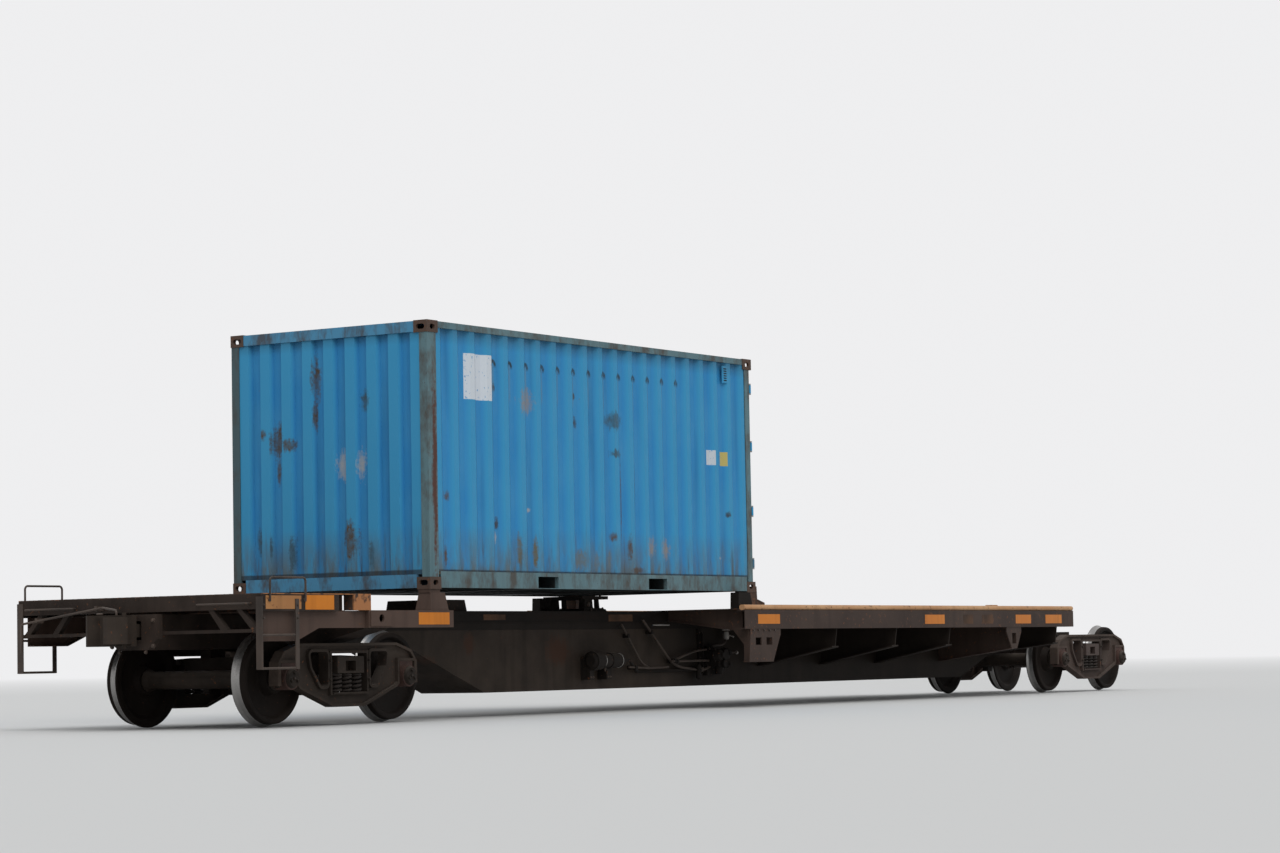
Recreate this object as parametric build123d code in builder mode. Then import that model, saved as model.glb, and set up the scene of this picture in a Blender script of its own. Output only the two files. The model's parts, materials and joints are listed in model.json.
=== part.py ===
"""Spine car unit for trailers and containers, carrying a 20 ft dry freight container.

Units are millimetres. +X points to the articulated end, +Z up, and the origin lies under
the middle of the overall length at the wheel flanges' lowest level. Along the car, places
are stations measured from the leading truck's centre pin. Heights are measured from the
top of the rail, and y from the car's centreline.
"""
import os
from math import atan2, cos, degrees, radians, sin

from build123d import *

os.makedirs("parts", exist_ok=True)

# Running gear
wheel_radius = 419.1
flange_height = 25.4
axle_spacing = 1778.0
truck_centres = 16154.0
wheel_back_y = 679.5
wheel_width = 145.0
journal_y = 985.0

# Length of the whole unit
coupler_reach = 2270.0
rear_reach = axle_spacing / 2 + wheel_radius + flange_height
overall_length = coupler_reach + truck_centres + rear_reach
front_pin_x = coupler_reach - overall_length / 2
rear_pin_x = front_pin_x + truck_centres
rail_z = flange_height

# Heights above the rail
coupler_height = 876.0
centre_plate_height = 654.0
sill_bottom_height = 700.0
sill_top_height = 1020.0
spine_top_height = 1050.0
end_deck_height = 1180.0
low_sill_top_height = 1030.0
low_sill_bottom_height = 870.0
pedestal_rise = 190.0
container_height = spine_top_height + pedestal_rise

# Widths
car_half_width = 1450.0
spine_half_width = 400.0
draft_half_width = 178.0

# Plates and clearances
web_thickness = 12.0
spine_plate_thickness = 25.0
flange_thickness = 12.0
seat_gap = 0.3

# Spine, as stations and heights of its fish-belly
spine_front = -350.0
spine_rear = 15650.0
shoulder_front = 1187.0
shoulder_rear = 15450.0
shoulder_height = 885.0
belly_front = 3017.0
belly_rear = 13527.0
belly_height = 218.0
lap_bottom_height = 857.0
lap_top_height = 930.0
lap_front = 1330.0
lap_rear = 14900.0
lap_thickness = 12.0

# End platform and low side sills
end_sill_station = -1803.0
side_channel_rear = -703.0
end_deck_rear = -229.0
low_sill_front = -1733.0
low_sill_step = -263.0
low_sill_rear = 1057.0
front_bearer_front = 985.0

# Trailer-wheel platform
platform_front = 6437.0
platform_rear = 14697.0
deck_thickness = 8.0
platform_sill_depth = 207.0
platform_sill_top_height = spine_top_height - deck_thickness
platform_sill_bottom_height = platform_sill_top_height - platform_sill_depth
curb_rise = 58.0
curb_top_height = platform_sill_top_height + curb_rise
bearer_root_height = 435.0

# Container
container_front = 1007.0
container_length = 6058.0
container_half_width = 1219.0
container_tall = 2591.0
casting_length = 178.0
casting_width = 162.0
casting_height = 118.0
sheet = 2.0
base_rail_top = 165.0
base_clearance = 14.0
top_rail_depth = 62.0


def x_at(station):
    """Row x of a station."""
    return front_pin_x + station


def z_at(height):
    """Row z of a height above the rail."""
    return rail_z + height


def side_plate(outline, y_from, y_to):
    """Plate between two y values, its outline given as (station, height) points."""
    with BuildSketch(Plane.XZ.offset(-y_from)) as face:
        with BuildLine():
            Polyline([(x_at(station), z_at(height)) for station, height in outline], close=True)
        make_face()
    extrude(face.sketch, amount=y_from - y_to)


def cross_plate(outline, station_from, station_to):
    """Plate between two stations, its outline given as (y, height) points."""
    with BuildSketch(Plane.YZ.offset(x_at(station_from))) as face:
        with BuildLine():
            Polyline([(y, z_at(height)) for y, height in outline], close=True)
        make_face()
    extrude(face.sketch, amount=station_to - station_from)


def flat_plate(outline, height_from, height_to):
    """Level plate between two heights, its outline given as (station, y) points."""
    with BuildSketch(Plane.XY.offset(z_at(height_from))) as face:
        with BuildLine():
            Polyline([(x_at(station), y) for station, y in outline], close=True)
        make_face()
    extrude(face.sketch, amount=height_to - height_from)


def bar(stations, ys, heights, mode=Mode.ADD):
    """Square-edged bar between two stations, two y values and two heights."""
    centre = (
        x_at(sum(stations) / 2),
        sum(ys) / 2,
        z_at(sum(heights) / 2),
    )
    with Locations(centre):
        Box(abs(stations[1] - stations[0]), abs(ys[1] - ys[0]), abs(heights[1] - heights[0]), mode=mode)


def cross_cylinder(station, y_from, y_to, height, radius, mode=Mode.ADD):
    """Cylinder along y between two y values."""
    with Locations((x_at(station), (y_from + y_to) / 2, z_at(height))):
        Cylinder(radius, abs(y_to - y_from), rotation=(90, 0, 0), mode=mode)


def upright_cylinder(station, y, height_from, height_to, radius, mode=Mode.ADD):
    """Vertical cylinder between two heights."""
    with Locations((x_at(station), y, z_at((height_from + height_to) / 2))):
        Cylinder(radius, height_to - height_from, mode=mode)


def long_cylinder(station_from, station_to, y, height, radius, mode=Mode.ADD):
    """Cylinder along the car between two stations."""
    with Locations((x_at((station_from + station_to) / 2), y, z_at(height))):
        Cylinder(radius, station_to - station_from, rotation=(0, 90, 0), mode=mode)


def rod(points, bend_radius, radius):
    """Bar stock with eight flats, bent along (station, y, height) points."""
    route = [(x_at(station), y, z_at(height)) for station, y, height in points]
    with BuildLine() as path:
        if len(route) > 2:
            FilletPolyline(*route, radius=bend_radius)
        else:
            Line(*route)
    start = path.line @ 0
    with BuildSketch(Plane(origin=start, z_dir=path.line % 0)) as section:
        RegularPolygon(radius, 8)
    sweep(section.sketch, path=path.line)


def write(name, builder):
    """Label the finished piece and write its STEP file."""
    builder.part.label = name
    export_step(builder.part, f"parts/{name}.step")


# Spine: two webs with a lap strip, and the top and belly plates between them


def belly_line(raised=0.0):
    """Underside of the spine from front to rear, raised by a plate's thickness."""
    return [
        (spine_front, shoulder_height + raised),
        (shoulder_front, shoulder_height + raised),
        (belly_front, belly_height + raised),
        (belly_rear, belly_height + raised),
        (shoulder_rear, shoulder_height + raised),
        (spine_rear, shoulder_height + raised),
    ]


def web_side(y_root=spine_half_width):
    """Outer profile of a spine web with its lap strip, as (y, height) points from the top down."""
    lap_y = y_root + lap_thickness
    return [
        (y_root, lap_top_height),
        (lap_y, lap_top_height),
        (lap_y, lap_bottom_height),
        (y_root, lap_bottom_height),
    ]


with BuildPart() as spine_webs:
    web_top = spine_top_height - spine_plate_thickness
    web_outline = belly_line(spine_plate_thickness)
    web_outline.append((spine_rear, web_top))
    web_outline.append((spine_front, web_top))
    side_plate(web_outline, spine_half_width - web_thickness, spine_half_width)
    bar(
        (lap_front, lap_rear),
        (spine_half_width, spine_half_width + lap_thickness),
        (lap_bottom_height, lap_top_height),
    )
    mirror(about=Plane.XZ)
write("spine_webs", spine_webs)

with BuildPart() as spine_plates:
    bar(
        (spine_front, spine_rear),
        (-spine_half_width, spine_half_width),
        (spine_top_height - spine_plate_thickness, spine_top_height),
    )
    belly_outline = belly_line() + list(reversed(belly_line(spine_plate_thickness)))
    side_plate(belly_outline, -spine_half_width, spine_half_width)
    for plate_front in (spine_front, spine_rear - spine_plate_thickness):
        bar(
            (plate_front, plate_front + spine_plate_thickness),
            (-spine_half_width + web_thickness, spine_half_width - web_thickness),
            (shoulder_height + spine_plate_thickness, spine_top_height - spine_plate_thickness),
        )
write("spine_plates", spine_plates)

# Draft sill with the coupler pocket, striker and centre plate
pocket_half_width = 100.0
pocket_half_height = 85.0
pocket_rear = -1250.0
striker_front = end_sill_station - 60.0
striker_half_width = 290.0
centre_plate_radius = 203.0

with BuildPart() as draft_sill:
    sill_outline = [
        (end_sill_station + 10.0, sill_bottom_height),
        (900.0, sill_bottom_height),
        (shoulder_front, shoulder_height),
        (spine_front, shoulder_height),
        (spine_front, sill_top_height),
        (end_sill_station + 10.0, sill_top_height),
    ]
    side_plate(sill_outline, -draft_half_width, draft_half_width)
    striker_outline = [
        (-striker_half_width, sill_top_height),
        (-striker_half_width, 800.0),
        (-draft_half_width, sill_bottom_height),
        (draft_half_width, sill_bottom_height),
        (striker_half_width, 800.0),
        (striker_half_width, sill_top_height),
    ]
    cross_plate(striker_outline, striker_front, end_sill_station + 10.0)
    bar(
        (striker_front, pocket_rear),
        (-pocket_half_width, pocket_half_width),
        (coupler_height - pocket_half_height, coupler_height + pocket_half_height),
        mode=Mode.SUBTRACT,
    )
    upright_cylinder(0.0, 0.0, centre_plate_height, sill_bottom_height, centre_plate_radius)
write("draft_sill", draft_sill)

# Coupler: shank, head with guard arm, and knuckle
shank_half_width = 70.0
shank_half_height = 60.0
head_half_height = 140.0
knuckle_half_height = 120.0
head_back = coupler_reach - 360.0
knuckle_pin_radius = 21.0

with BuildPart() as coupler:
    bar(
        (-head_back, pocket_rear - seat_gap),
        (-shank_half_width, shank_half_width),
        (coupler_height - shank_half_height, coupler_height + shank_half_height),
    )
    # Guard-arm side of the head, as (distance ahead of the head's back, y)
    guard_arm = [
        (0, 75),
        (60, 150),
        (190, 215),
        (330, 222),
        (345, 190),
        (230, 140),
        (190, 60),
        (200, -20),
    ]
    knuckle_side = [(160, -60), (150, -160), (60, -140), (0, -75)]
    flat_plate(
        [(-head_back - ahead, y) for ahead, y in guard_arm + knuckle_side],
        coupler_height - head_half_height,
        coupler_height + head_half_height,
    )
    # Knuckle with its hooked nose
    knuckle = [
        (150, -60),
        (260, -50),
        (290, 20),
        (340, 10),
        (360, -60),
        (340, -150),
        (230, -185),
        (150, -160),
    ]
    flat_plate(
        [(-head_back - ahead, y) for ahead, y in knuckle],
        coupler_height - knuckle_half_height,
        coupler_height + knuckle_half_height,
    )
    upright_cylinder(
        -head_back - 215.0,
        -130.0,
        coupler_height - head_half_height - 20.0,
        coupler_height + head_half_height + 20.0,
        knuckle_pin_radius,
    )
write("coupler", coupler)

# Uncoupling lever along the end, reaching the coupler's lock lift
lever_radius = 11.0
lever_station = end_sill_station - 90.0

with BuildPart() as uncoupling_lever:
    lever_route = [
        (lever_station, 1330.0, 700.0),
        (lever_station, 1330.0, 960.0),
        (lever_station, 330.0, 1090.0),
        (lever_station - 120.0, 60.0, 1060.0),
        (lever_station - 120.0, 60.0, coupler_height + head_half_height + seat_gap),
    ]
    rod(lever_route, 30.0, lever_radius)
    for lever_y, lever_height in ((1150.0, 983.4), (420.0, 1078.3)):
        bar(
            (lever_station, end_sill_station),
            (lever_y - 15.0, lever_y + 15.0),
            (lever_height - 16.0, lever_height + 30.0),
        )
write("uncoupling_lever", uncoupling_lever)

# End platform: end sill plate, side channels with lips, braces and lower cross tie
lip = 70.0
end_plate_bottom_height = 1040.0
side_channel_bottom_height = low_sill_top_height - 10.0
frame_top_height = end_deck_height - deck_thickness
tie_height = 865.0

with BuildPart() as end_frame:
    end_channel = [
        (end_sill_station, end_plate_bottom_height),
        (end_sill_station + lip, end_plate_bottom_height),
        (end_sill_station + lip, end_plate_bottom_height + 10.0),
        (end_sill_station + 10.0, end_plate_bottom_height + 10.0),
        (end_sill_station + 10.0, frame_top_height - 10.0),
        (end_sill_station + lip, frame_top_height - 10.0),
        (end_sill_station + lip, frame_top_height),
        (end_sill_station, frame_top_height),
    ]
    side_plate(end_channel, -car_half_width, car_half_width)
    side_channel = [
        (car_half_width, side_channel_bottom_height),
        (car_half_width, frame_top_height),
        (car_half_width - lip, frame_top_height),
        (car_half_width - lip, frame_top_height - 10.0),
        (car_half_width - 10.0, frame_top_height - 10.0),
        (car_half_width - 10.0, side_channel_bottom_height + 10.0),
        (car_half_width - lip, side_channel_bottom_height + 10.0),
        (car_half_width - lip, side_channel_bottom_height),
    ]
    cross_plate(side_channel, end_sill_station + lip, side_channel_rear)
    bar(
        (end_sill_station + 10.0, end_sill_station + lip),
        (car_half_width - 10.0, car_half_width),
        (side_channel_bottom_height, frame_top_height),
    )
    # Inboard and outboard brace, as (upper y, lower y, lower height)
    for upper_y, lower_y, lower_height in ((855.0, 1000.0, tie_height), (1180.0, 1380.0, 830.0)):
        brace = [
            (upper_y - 30.0, end_plate_bottom_height),
            (upper_y + 30.0, end_plate_bottom_height),
            (lower_y + 35.0, lower_height),
            (lower_y - 35.0, lower_height),
        ]
        cross_plate(brace, end_sill_station + 10.0, end_sill_station + lip)
    bar(
        (end_sill_station + 10.0, end_sill_station + lip),
        (striker_half_width, car_half_width - 50.0),
        (tie_height - 30.0, tie_height),
    )
    mirror(about=Plane.XZ)
write("end_frame", end_frame)

# End deck plate on two cross joists that stand on the draft sill
joist_half_length = 40.0
joist_stations = (-1250.0, -560.0)

with BuildPart() as end_deck:
    bar(
        (end_sill_station, end_deck_rear),
        (-car_half_width, car_half_width),
        (frame_top_height, end_deck_height),
    )
    for joist_station in joist_stations:
        joist = [
            (joist_station - joist_half_length, sill_top_height),
            (joist_station + joist_half_length, sill_top_height),
            (joist_station + joist_half_length, sill_top_height + 10.0),
            (joist_station + 5.0, sill_top_height + 10.0),
            (joist_station + 5.0, frame_top_height),
            (joist_station - 5.0, frame_top_height),
            (joist_station - 5.0, sill_top_height + 10.0),
            (joist_station - joist_half_length, sill_top_height + 10.0),
        ]
        side_plate(joist, -(car_half_width - lip - 10.0), car_half_width - lip - 10.0)
    # Posts that carry the deck's rear corners on the low side sills
    for side in (-1, 1):
        bar(
            (-483.0, end_deck_rear),
            (side * 1330.0, side * car_half_width),
            (low_sill_top_height, frame_top_height),
        )
write("end_deck", end_deck)

# Low side sills with jacking pads at the body bolster
sill_flange = 120.0
front_web_y = 1405.0
pad_station = -82.0
pad_half_width = 163.0
pad_hole_radius = 38.0
pad_hole_height = (low_sill_bottom_height + low_sill_top_height) / 2 + 5.0
pad_thickness = 12.0

with BuildPart() as side_sills:
    front_web = [
        (low_sill_front, 755.0),
        (-1263.0, 755.0),
        (-943.0, low_sill_bottom_height),
        (low_sill_step, low_sill_bottom_height),
        (low_sill_step, side_channel_bottom_height),
        (low_sill_front, side_channel_bottom_height),
    ]
    side_plate(front_web, front_web_y - 10.0, front_web_y)
    front_flange = front_web[:4] + [(station, height + 10.0) for station, height in reversed(front_web[:4])]
    side_plate(front_flange, front_web_y - 70.0, front_web_y)
    rear_channel = [
        (car_half_width, low_sill_bottom_height),
        (car_half_width, low_sill_top_height),
        (car_half_width - sill_flange, low_sill_top_height),
        (car_half_width - sill_flange, low_sill_top_height - flange_thickness),
        (car_half_width - 10.0, low_sill_top_height - flange_thickness),
        (car_half_width - 10.0, low_sill_bottom_height + flange_thickness),
        (car_half_width - sill_flange, low_sill_bottom_height + flange_thickness),
        (car_half_width - sill_flange, low_sill_bottom_height),
    ]
    cross_plate(rear_channel, low_sill_step, low_sill_rear)
    bar(
        (low_sill_step, low_sill_step + 10.0),
        (car_half_width - sill_flange, car_half_width),
        (low_sill_bottom_height, low_sill_top_height),
    )
    bar(
        (pad_station - pad_half_width, pad_station + pad_half_width),
        (car_half_width, car_half_width + pad_thickness),
        (low_sill_bottom_height + 12.0, low_sill_top_height - 12.0),
    )
    cross_cylinder(
        pad_station,
        car_half_width - 20.0,
        car_half_width + pad_thickness + 5.0,
        pad_hole_height,
        pad_hole_radius,
        mode=Mode.SUBTRACT,
    )
    mirror(about=Plane.XZ)
write("side_sills", side_sills)

# Body bolster: tapered arms from the draft sill to the side sills, with side bearings
bolster_half_length = 180.0
side_bearing_y = 635.0
body_bearing_height = 690.0

with BuildPart() as body_bolster:
    arm = [
        (draft_half_width, 715.0),
        (side_bearing_y + 60.0, 715.0),
        (car_half_width - sill_flange, low_sill_bottom_height - 10.0),
        (car_half_width - sill_flange, low_sill_top_height),
        (spine_half_width, low_sill_top_height),
        (spine_half_width, shoulder_height),
        (draft_half_width, shoulder_height),
    ]
    cross_plate(arm, -bolster_half_length, bolster_half_length)
    bar(
        (-100.0, 100.0),
        (side_bearing_y - 50.0, side_bearing_y + 50.0),
        (body_bearing_height, 715.0),
    )
    mirror(about=Plane.XZ)
write("body_bolster", body_bolster)

# Front container bearer between the spine and the low side sills
with BuildPart() as front_bearer:
    bearer_plan = [
        (front_bearer_front, spine_half_width),
        (front_bearer_front, car_half_width - sill_flange),
        (low_sill_rear, car_half_width - sill_flange),
        (low_sill_rear, car_half_width - 30.0),
        (1290.0, 1235.0),
        (1290.0, spine_half_width),
    ]
    flat_plate(bearer_plan, shoulder_height, low_sill_top_height)
    mirror(about=Plane.XZ)
write("front_bearer", front_bearer)


# Front pedestals, one under each leading corner casting


def pedestal(station, y, foot, head, height_from, height_to):
    """Tapered block between two rectangles, foot and head given as (length, width)."""
    with BuildSketch(Plane.XY.offset(z_at(height_from))) as foot_face:
        with Locations((x_at(station), y)):
            Rectangle(*foot)
    with BuildSketch(Plane.XY.offset(z_at(height_to))) as head_face:
        with Locations((x_at(station), y)):
            Rectangle(*head)
    loft([foot_face.sketch.face(), head_face.sketch.face()])


front_pedestal_station = container_front + 130.0
pedestal_y = container_half_width - casting_width / 2
pedestal_foot = (290.0, 180.0)
pedestal_head = (234.0, 140.0)
pedestal_shoulder_height = container_height - 34.0

with BuildPart() as front_pedestals:
    bar(
        (front_pedestal_station - 147.0, front_pedestal_station + 147.0),
        (pedestal_y - 95.0, pedestal_y + 95.0),
        (low_sill_top_height, low_sill_top_height + 15.0),
    )
    pedestal(
        front_pedestal_station,
        pedestal_y,
        pedestal_foot,
        pedestal_head,
        low_sill_top_height + 15.0,
        pedestal_shoulder_height,
    )
    bar(
        (container_front + 5.0, container_front + casting_length - 5.0),
        (pedestal_y - 68.0, pedestal_y + 68.0),
        (pedestal_shoulder_height, container_height - seat_gap),
    )
    mirror(about=Plane.XZ)
write("front_pedestals", front_pedestals)

# Trailer-wheel platform: deck plate, side sills and curbs
curb_width = 70.0

with BuildPart() as platform_deck:
    bar(
        (platform_front, platform_rear),
        (-(car_half_width - curb_width), car_half_width - curb_width),
        (spine_top_height, spine_top_height + deck_thickness),
    )
write("platform_deck", platform_deck)

platform_flange = 90.0

with BuildPart() as platform_sills:
    platform_channel = [
        (car_half_width, platform_sill_bottom_height),
        (car_half_width, platform_sill_top_height),
        (car_half_width - platform_flange, platform_sill_top_height),
        (car_half_width - platform_flange, platform_sill_top_height - flange_thickness),
        (car_half_width - 10.0, platform_sill_top_height - flange_thickness),
        (car_half_width - 10.0, platform_sill_bottom_height + flange_thickness),
        (car_half_width - platform_flange, platform_sill_bottom_height + flange_thickness),
        (car_half_width - platform_flange, platform_sill_bottom_height),
    ]
    cross_plate(platform_channel, platform_front, platform_rear)
    mirror(about=Plane.XZ)
write("platform_sills", platform_sills)

with BuildPart() as platform_curbs:
    curb_centre_height = (platform_sill_top_height + curb_top_height) / 2
    curb_half_height = (curb_top_height - platform_sill_top_height) / 2
    with BuildSketch(Plane.YZ.offset(x_at(platform_front))) as curb_face:
        with Locations((car_half_width - curb_width / 2, z_at(curb_centre_height))):
            RectangleRounded(curb_width, 2 * curb_half_height, curb_half_height - 2.0)
    extrude(curb_face.sketch, amount=platform_rear - platform_front)
    mirror(about=Plane.XZ)
write("platform_curbs", platform_curbs)

# Cross-bearers of the platform, tapering out to pointed tips below the side sills
bearer_stations = (8507.0, 9937.0, 11297.0, 14250.0)
bearer_web = 14.0
bearer_flange_half_length = 75.0
bearer_top_y = car_half_width - platform_flange


def bearer_outline(root_height, tip_y, tip_height):
    """Web of one cross-bearer as (y, height) points, fitted round the lap strip."""
    return [
        (spine_half_width, spine_top_height),
        *web_side(),
        (spine_half_width, root_height),
        (tip_y, tip_height),
        (tip_y + 25.0, platform_sill_bottom_height),
        (bearer_top_y, platform_sill_bottom_height),
        (bearer_top_y, spine_top_height),
    ]


def root_height_at(station):
    """Lowest height where a bearer meets the web, above the rising belly."""
    rise = (shoulder_height - belly_height) / (shoulder_rear - belly_rear)
    belly = belly_height + max(0.0, station - belly_rear) * rise
    return max(bearer_root_height, belly + 2 * spine_plate_thickness)


with BuildPart() as cross_bearers:
    tip_y = 1400.0
    tip_height = 635.0
    for bearer_station in bearer_stations:
        root_height = root_height_at(bearer_station)
        tip = max(tip_height, root_height)
        cross_plate(
            bearer_outline(root_height, tip_y, tip),
            bearer_station - bearer_web / 2,
            bearer_station + bearer_web / 2,
        )
        lower_flange = [
            (spine_half_width, root_height),
            (tip_y, tip),
            (tip_y, tip - 16.0),
            (spine_half_width, root_height - 16.0),
        ]
        cross_plate(
            lower_flange,
            bearer_station - bearer_flange_half_length,
            bearer_station + bearer_flange_half_length,
        )
    mirror(about=Plane.XZ)
write("cross_bearers", cross_bearers)

# Box bearers at the 20 ft and 40 ft container positions, each ending in a hanging side bracket
bracket_thickness = 16.0
bracket_y = car_half_width - 6.0
bracket_inner_y = bracket_y - bracket_thickness
bracket_shoulder = 60.0
gusset_reach = 200.0
gusset_foot_height = platform_sill_bottom_height - 170.0
return_flange = 60.0
shallow_root_depth = 100.0
shallow_root_height = spine_top_height - shallow_root_depth


def deep_rib(foot_height):
    """Rib of a bearer as deep as the bracket, as (y, height) points."""
    return [
        (spine_half_width, spine_top_height),
        *web_side(),
        (spine_half_width, bearer_root_height),
        (bracket_inner_y, foot_height),
        (bracket_inner_y, platform_sill_bottom_height),
        (bearer_top_y, platform_sill_bottom_height),
        (bearer_top_y, spine_top_height),
    ]


def shallow_rib(foot_height):
    """Rib of a shallow bearer, with a gusset and a return flange behind the bracket."""
    return [
        (spine_half_width, spine_top_height),
        (spine_half_width, shallow_root_height),
        (bracket_inner_y - gusset_reach, platform_sill_bottom_height),
        (bracket_inner_y - return_flange, gusset_foot_height),
        (bracket_inner_y - return_flange, foot_height),
        (bracket_inner_y, foot_height),
        (bracket_inner_y, platform_sill_bottom_height),
        (bearer_top_y, platform_sill_bottom_height),
        (bearer_top_y, spine_top_height),
    ]


# Columns: name, rib form, front and rear station at the top, the same at the foot, drop of the
# foot below the side sill, and slots as (station, drop below the side sill, length, height across)
brackets = (
    (
        "bracket_20ft", shallow_rib, 6557.0, 7207.0, 6527.0, 7047.0, 350.0,
        ((6730.0, 135.0, 125.0, 80.0), (6960.0, 135.0, 125.0, 80.0)),
    ),
    (
        "bracket_40ft", deep_rib, 12777.0, 13187.0, 12907.0, 13067.0, 255.0,
        ((12985.0, 140.0, 110.0, 130.0),),
    ),
)

for name, rib_form, top_front, top_rear, foot_front, foot_rear, foot_drop, slots in brackets:
    foot_height = platform_sill_bottom_height - foot_drop
    with BuildPart() as bracket:
        face_outline = [
            (top_front, platform_sill_bottom_height),
            (top_rear, platform_sill_bottom_height),
            (top_rear, platform_sill_bottom_height - bracket_shoulder),
            (foot_rear, foot_height),
            (foot_front, foot_height),
            (top_front, platform_sill_bottom_height - bracket_shoulder),
        ]
        side_plate(face_outline, bracket_inner_y, bracket_y)
        for slot_station, slot_drop, slot_length, slot_tall in slots:
            slot_height = platform_sill_bottom_height - slot_drop
            bar(
                (slot_station - slot_length / 2, slot_station + slot_length / 2),
                (bracket_inner_y - 1.0, bracket_y + 1.0),
                (slot_height - slot_tall / 2, slot_height + slot_tall / 2),
                mode=Mode.SUBTRACT,
            )
        rib_outline = rib_form(foot_height)
        for rib_station in (foot_front + 20.0, foot_rear - 20.0):
            cross_plate(rib_outline, rib_station - bearer_web / 2, rib_station + bearer_web / 2)
        # Flanges along the ribs' lower edges
        if rib_form is deep_rib:
            flange_lines = [((spine_half_width, bearer_root_height), (bracket_y, foot_height))]
        else:
            flange_lines = [
                (
                    (spine_half_width, shallow_root_height),
                    (bracket_inner_y - gusset_reach, platform_sill_bottom_height),
                ),
                ((bracket_inner_y - return_flange, foot_height), (bracket_y, foot_height)),
            ]
        for (y_from, height_from), (y_to, height_to) in flange_lines:
            flange = [
                (y_from, height_from),
                (y_to, height_to),
                (y_to, height_to - flange_thickness),
                (y_from, height_from - flange_thickness),
            ]
            cross_plate(flange, foot_front, foot_rear)
        mirror(about=Plane.XZ)
    write(name, bracket)

# Rear pedestals with the latch behind the container's rear castings
deck_top_height = spine_top_height + deck_thickness
container_rear = container_front + container_length
rear_pedestal_station = container_rear - casting_length / 2
latch_gap = 8.0

with BuildPart() as rear_pedestals:
    pedestal(
        rear_pedestal_station,
        pedestal_y,
        (250.0, 190.0),
        (168.0, 150.0),
        deck_top_height,
        container_height - seat_gap,
    )
    latch_outline = [
        (rear_pedestal_station + 60.0, deck_top_height),
        (container_rear + 250.0, deck_top_height),
        (container_rear + 250.0, deck_top_height + 70.0),
        (container_rear + 90.0, deck_top_height + 110.0),
        (container_rear + 80.0, container_height + 68.0),
        (container_rear + latch_gap, container_height + 68.0),
        (container_rear + latch_gap, container_height - 70.0),
        (rear_pedestal_station + 60.0, container_height - 70.0),
    ]
    side_plate(latch_outline, pedestal_y - 25.0, pedestal_y + 45.0)
    mirror(about=Plane.XZ)
write("rear_pedestals", rear_pedestals)

# Guides at the front corners of the platform
with BuildPart() as deck_guides:
    guide_outline = [
        (platform_front + 5.0, deck_top_height),
        (platform_front + 310.0, deck_top_height),
        (platform_front + 255.0, container_height - 5.0),
        (platform_front + 15.0, container_height - 5.0),
    ]
    side_plate(guide_outline, container_half_width + 45.0, container_half_width + 150.0)
    mirror(about=Plane.XZ)
write("deck_guides", deck_guides)

# Pedestals stowed flat at the 40 ft position, each a foot plate with its hinge bar and cone
stowed_front = 12830.0
stowed_rear = 13130.0
stowed_inner_y = 1040.0
stowed_outer_y = 1240.0
stowed_plate_top = deck_top_height + 34.0
hinge_bar_radius = 22.0

with BuildPart() as stowed_pedestals:
    bar((stowed_front, stowed_rear), (stowed_inner_y, stowed_outer_y), (deck_top_height, stowed_plate_top))
    cross_cylinder(
        stowed_rear + 30.0,
        stowed_inner_y + 10.0,
        stowed_outer_y - 10.0,
        deck_top_height + hinge_bar_radius,
        hinge_bar_radius,
    )
    bar(
        (stowed_front + 70.0, stowed_rear - 70.0),
        (stowed_inner_y + 55.0, stowed_outer_y - 55.0),
        (stowed_plate_top, stowed_plate_top + 26.0),
    )
    mirror(about=Plane.XZ)
write("stowed_pedestals", stowed_pedestals)

# Sill steps at the end's corners
stile_bottom_height = 505.0
front_stile_station = end_sill_station - 10.0
rear_stile_station = -1343.0
rung_radius = 11.0
rung_heights = (515.0, 810.0)

with BuildPart() as sill_steps:
    bar(
        (front_stile_station, end_sill_station),
        (car_half_width - 62.0, car_half_width + 10.0),
        (stile_bottom_height, 1150.0),
    )
    bar(
        (rear_stile_station, rear_stile_station + 50.0),
        (car_half_width, car_half_width + 10.0),
        (stile_bottom_height, 1130.0),
    )
    for rung_height in rung_heights:
        long_cylinder(
            front_stile_station + 2.0,
            rear_stile_station + 25.0,
            car_half_width - 3.0,
            rung_height,
            rung_radius,
        )
    mirror(about=Plane.XZ)
write("sill_steps", sill_steps)

# Grab irons over the platform edge and across the end
grab_radius = 10.0
grab_bend = 35.0
grab_y = car_half_width + grab_radius + 2.0
grab_foot_height = 1120.0
grab_top_height = 1320.0
end_grab_station = end_sill_station - 63.0

with BuildPart() as grab_irons:
    side_route = [
        (-1703.0, grab_y, grab_foot_height),
        (-1703.0, grab_y, grab_top_height),
        (-1203.0, grab_y, grab_top_height),
        (-1203.0, grab_y, grab_foot_height),
    ]
    rod(side_route, grab_bend, grab_radius)
    for foot_station in (-1703.0, -1203.0):
        cross_cylinder(foot_station, car_half_width, grab_y, grab_foot_height, 16.0)
    end_route = [
        (end_sill_station, 741.0, 1090.0),
        (end_grab_station, 741.0, 1090.0),
        (end_grab_station, 1326.0, 1090.0),
        (end_sill_station, 1326.0, 1090.0),
    ]
    rod(end_route, grab_bend, grab_radius)
    mirror(about=Plane.XZ)
write("grab_irons", grab_irons)

# Folded trailer hitch on the spine
hitch_post_station = 5080.0
hitch_head_bottom = spine_top_height + 130.0

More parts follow.
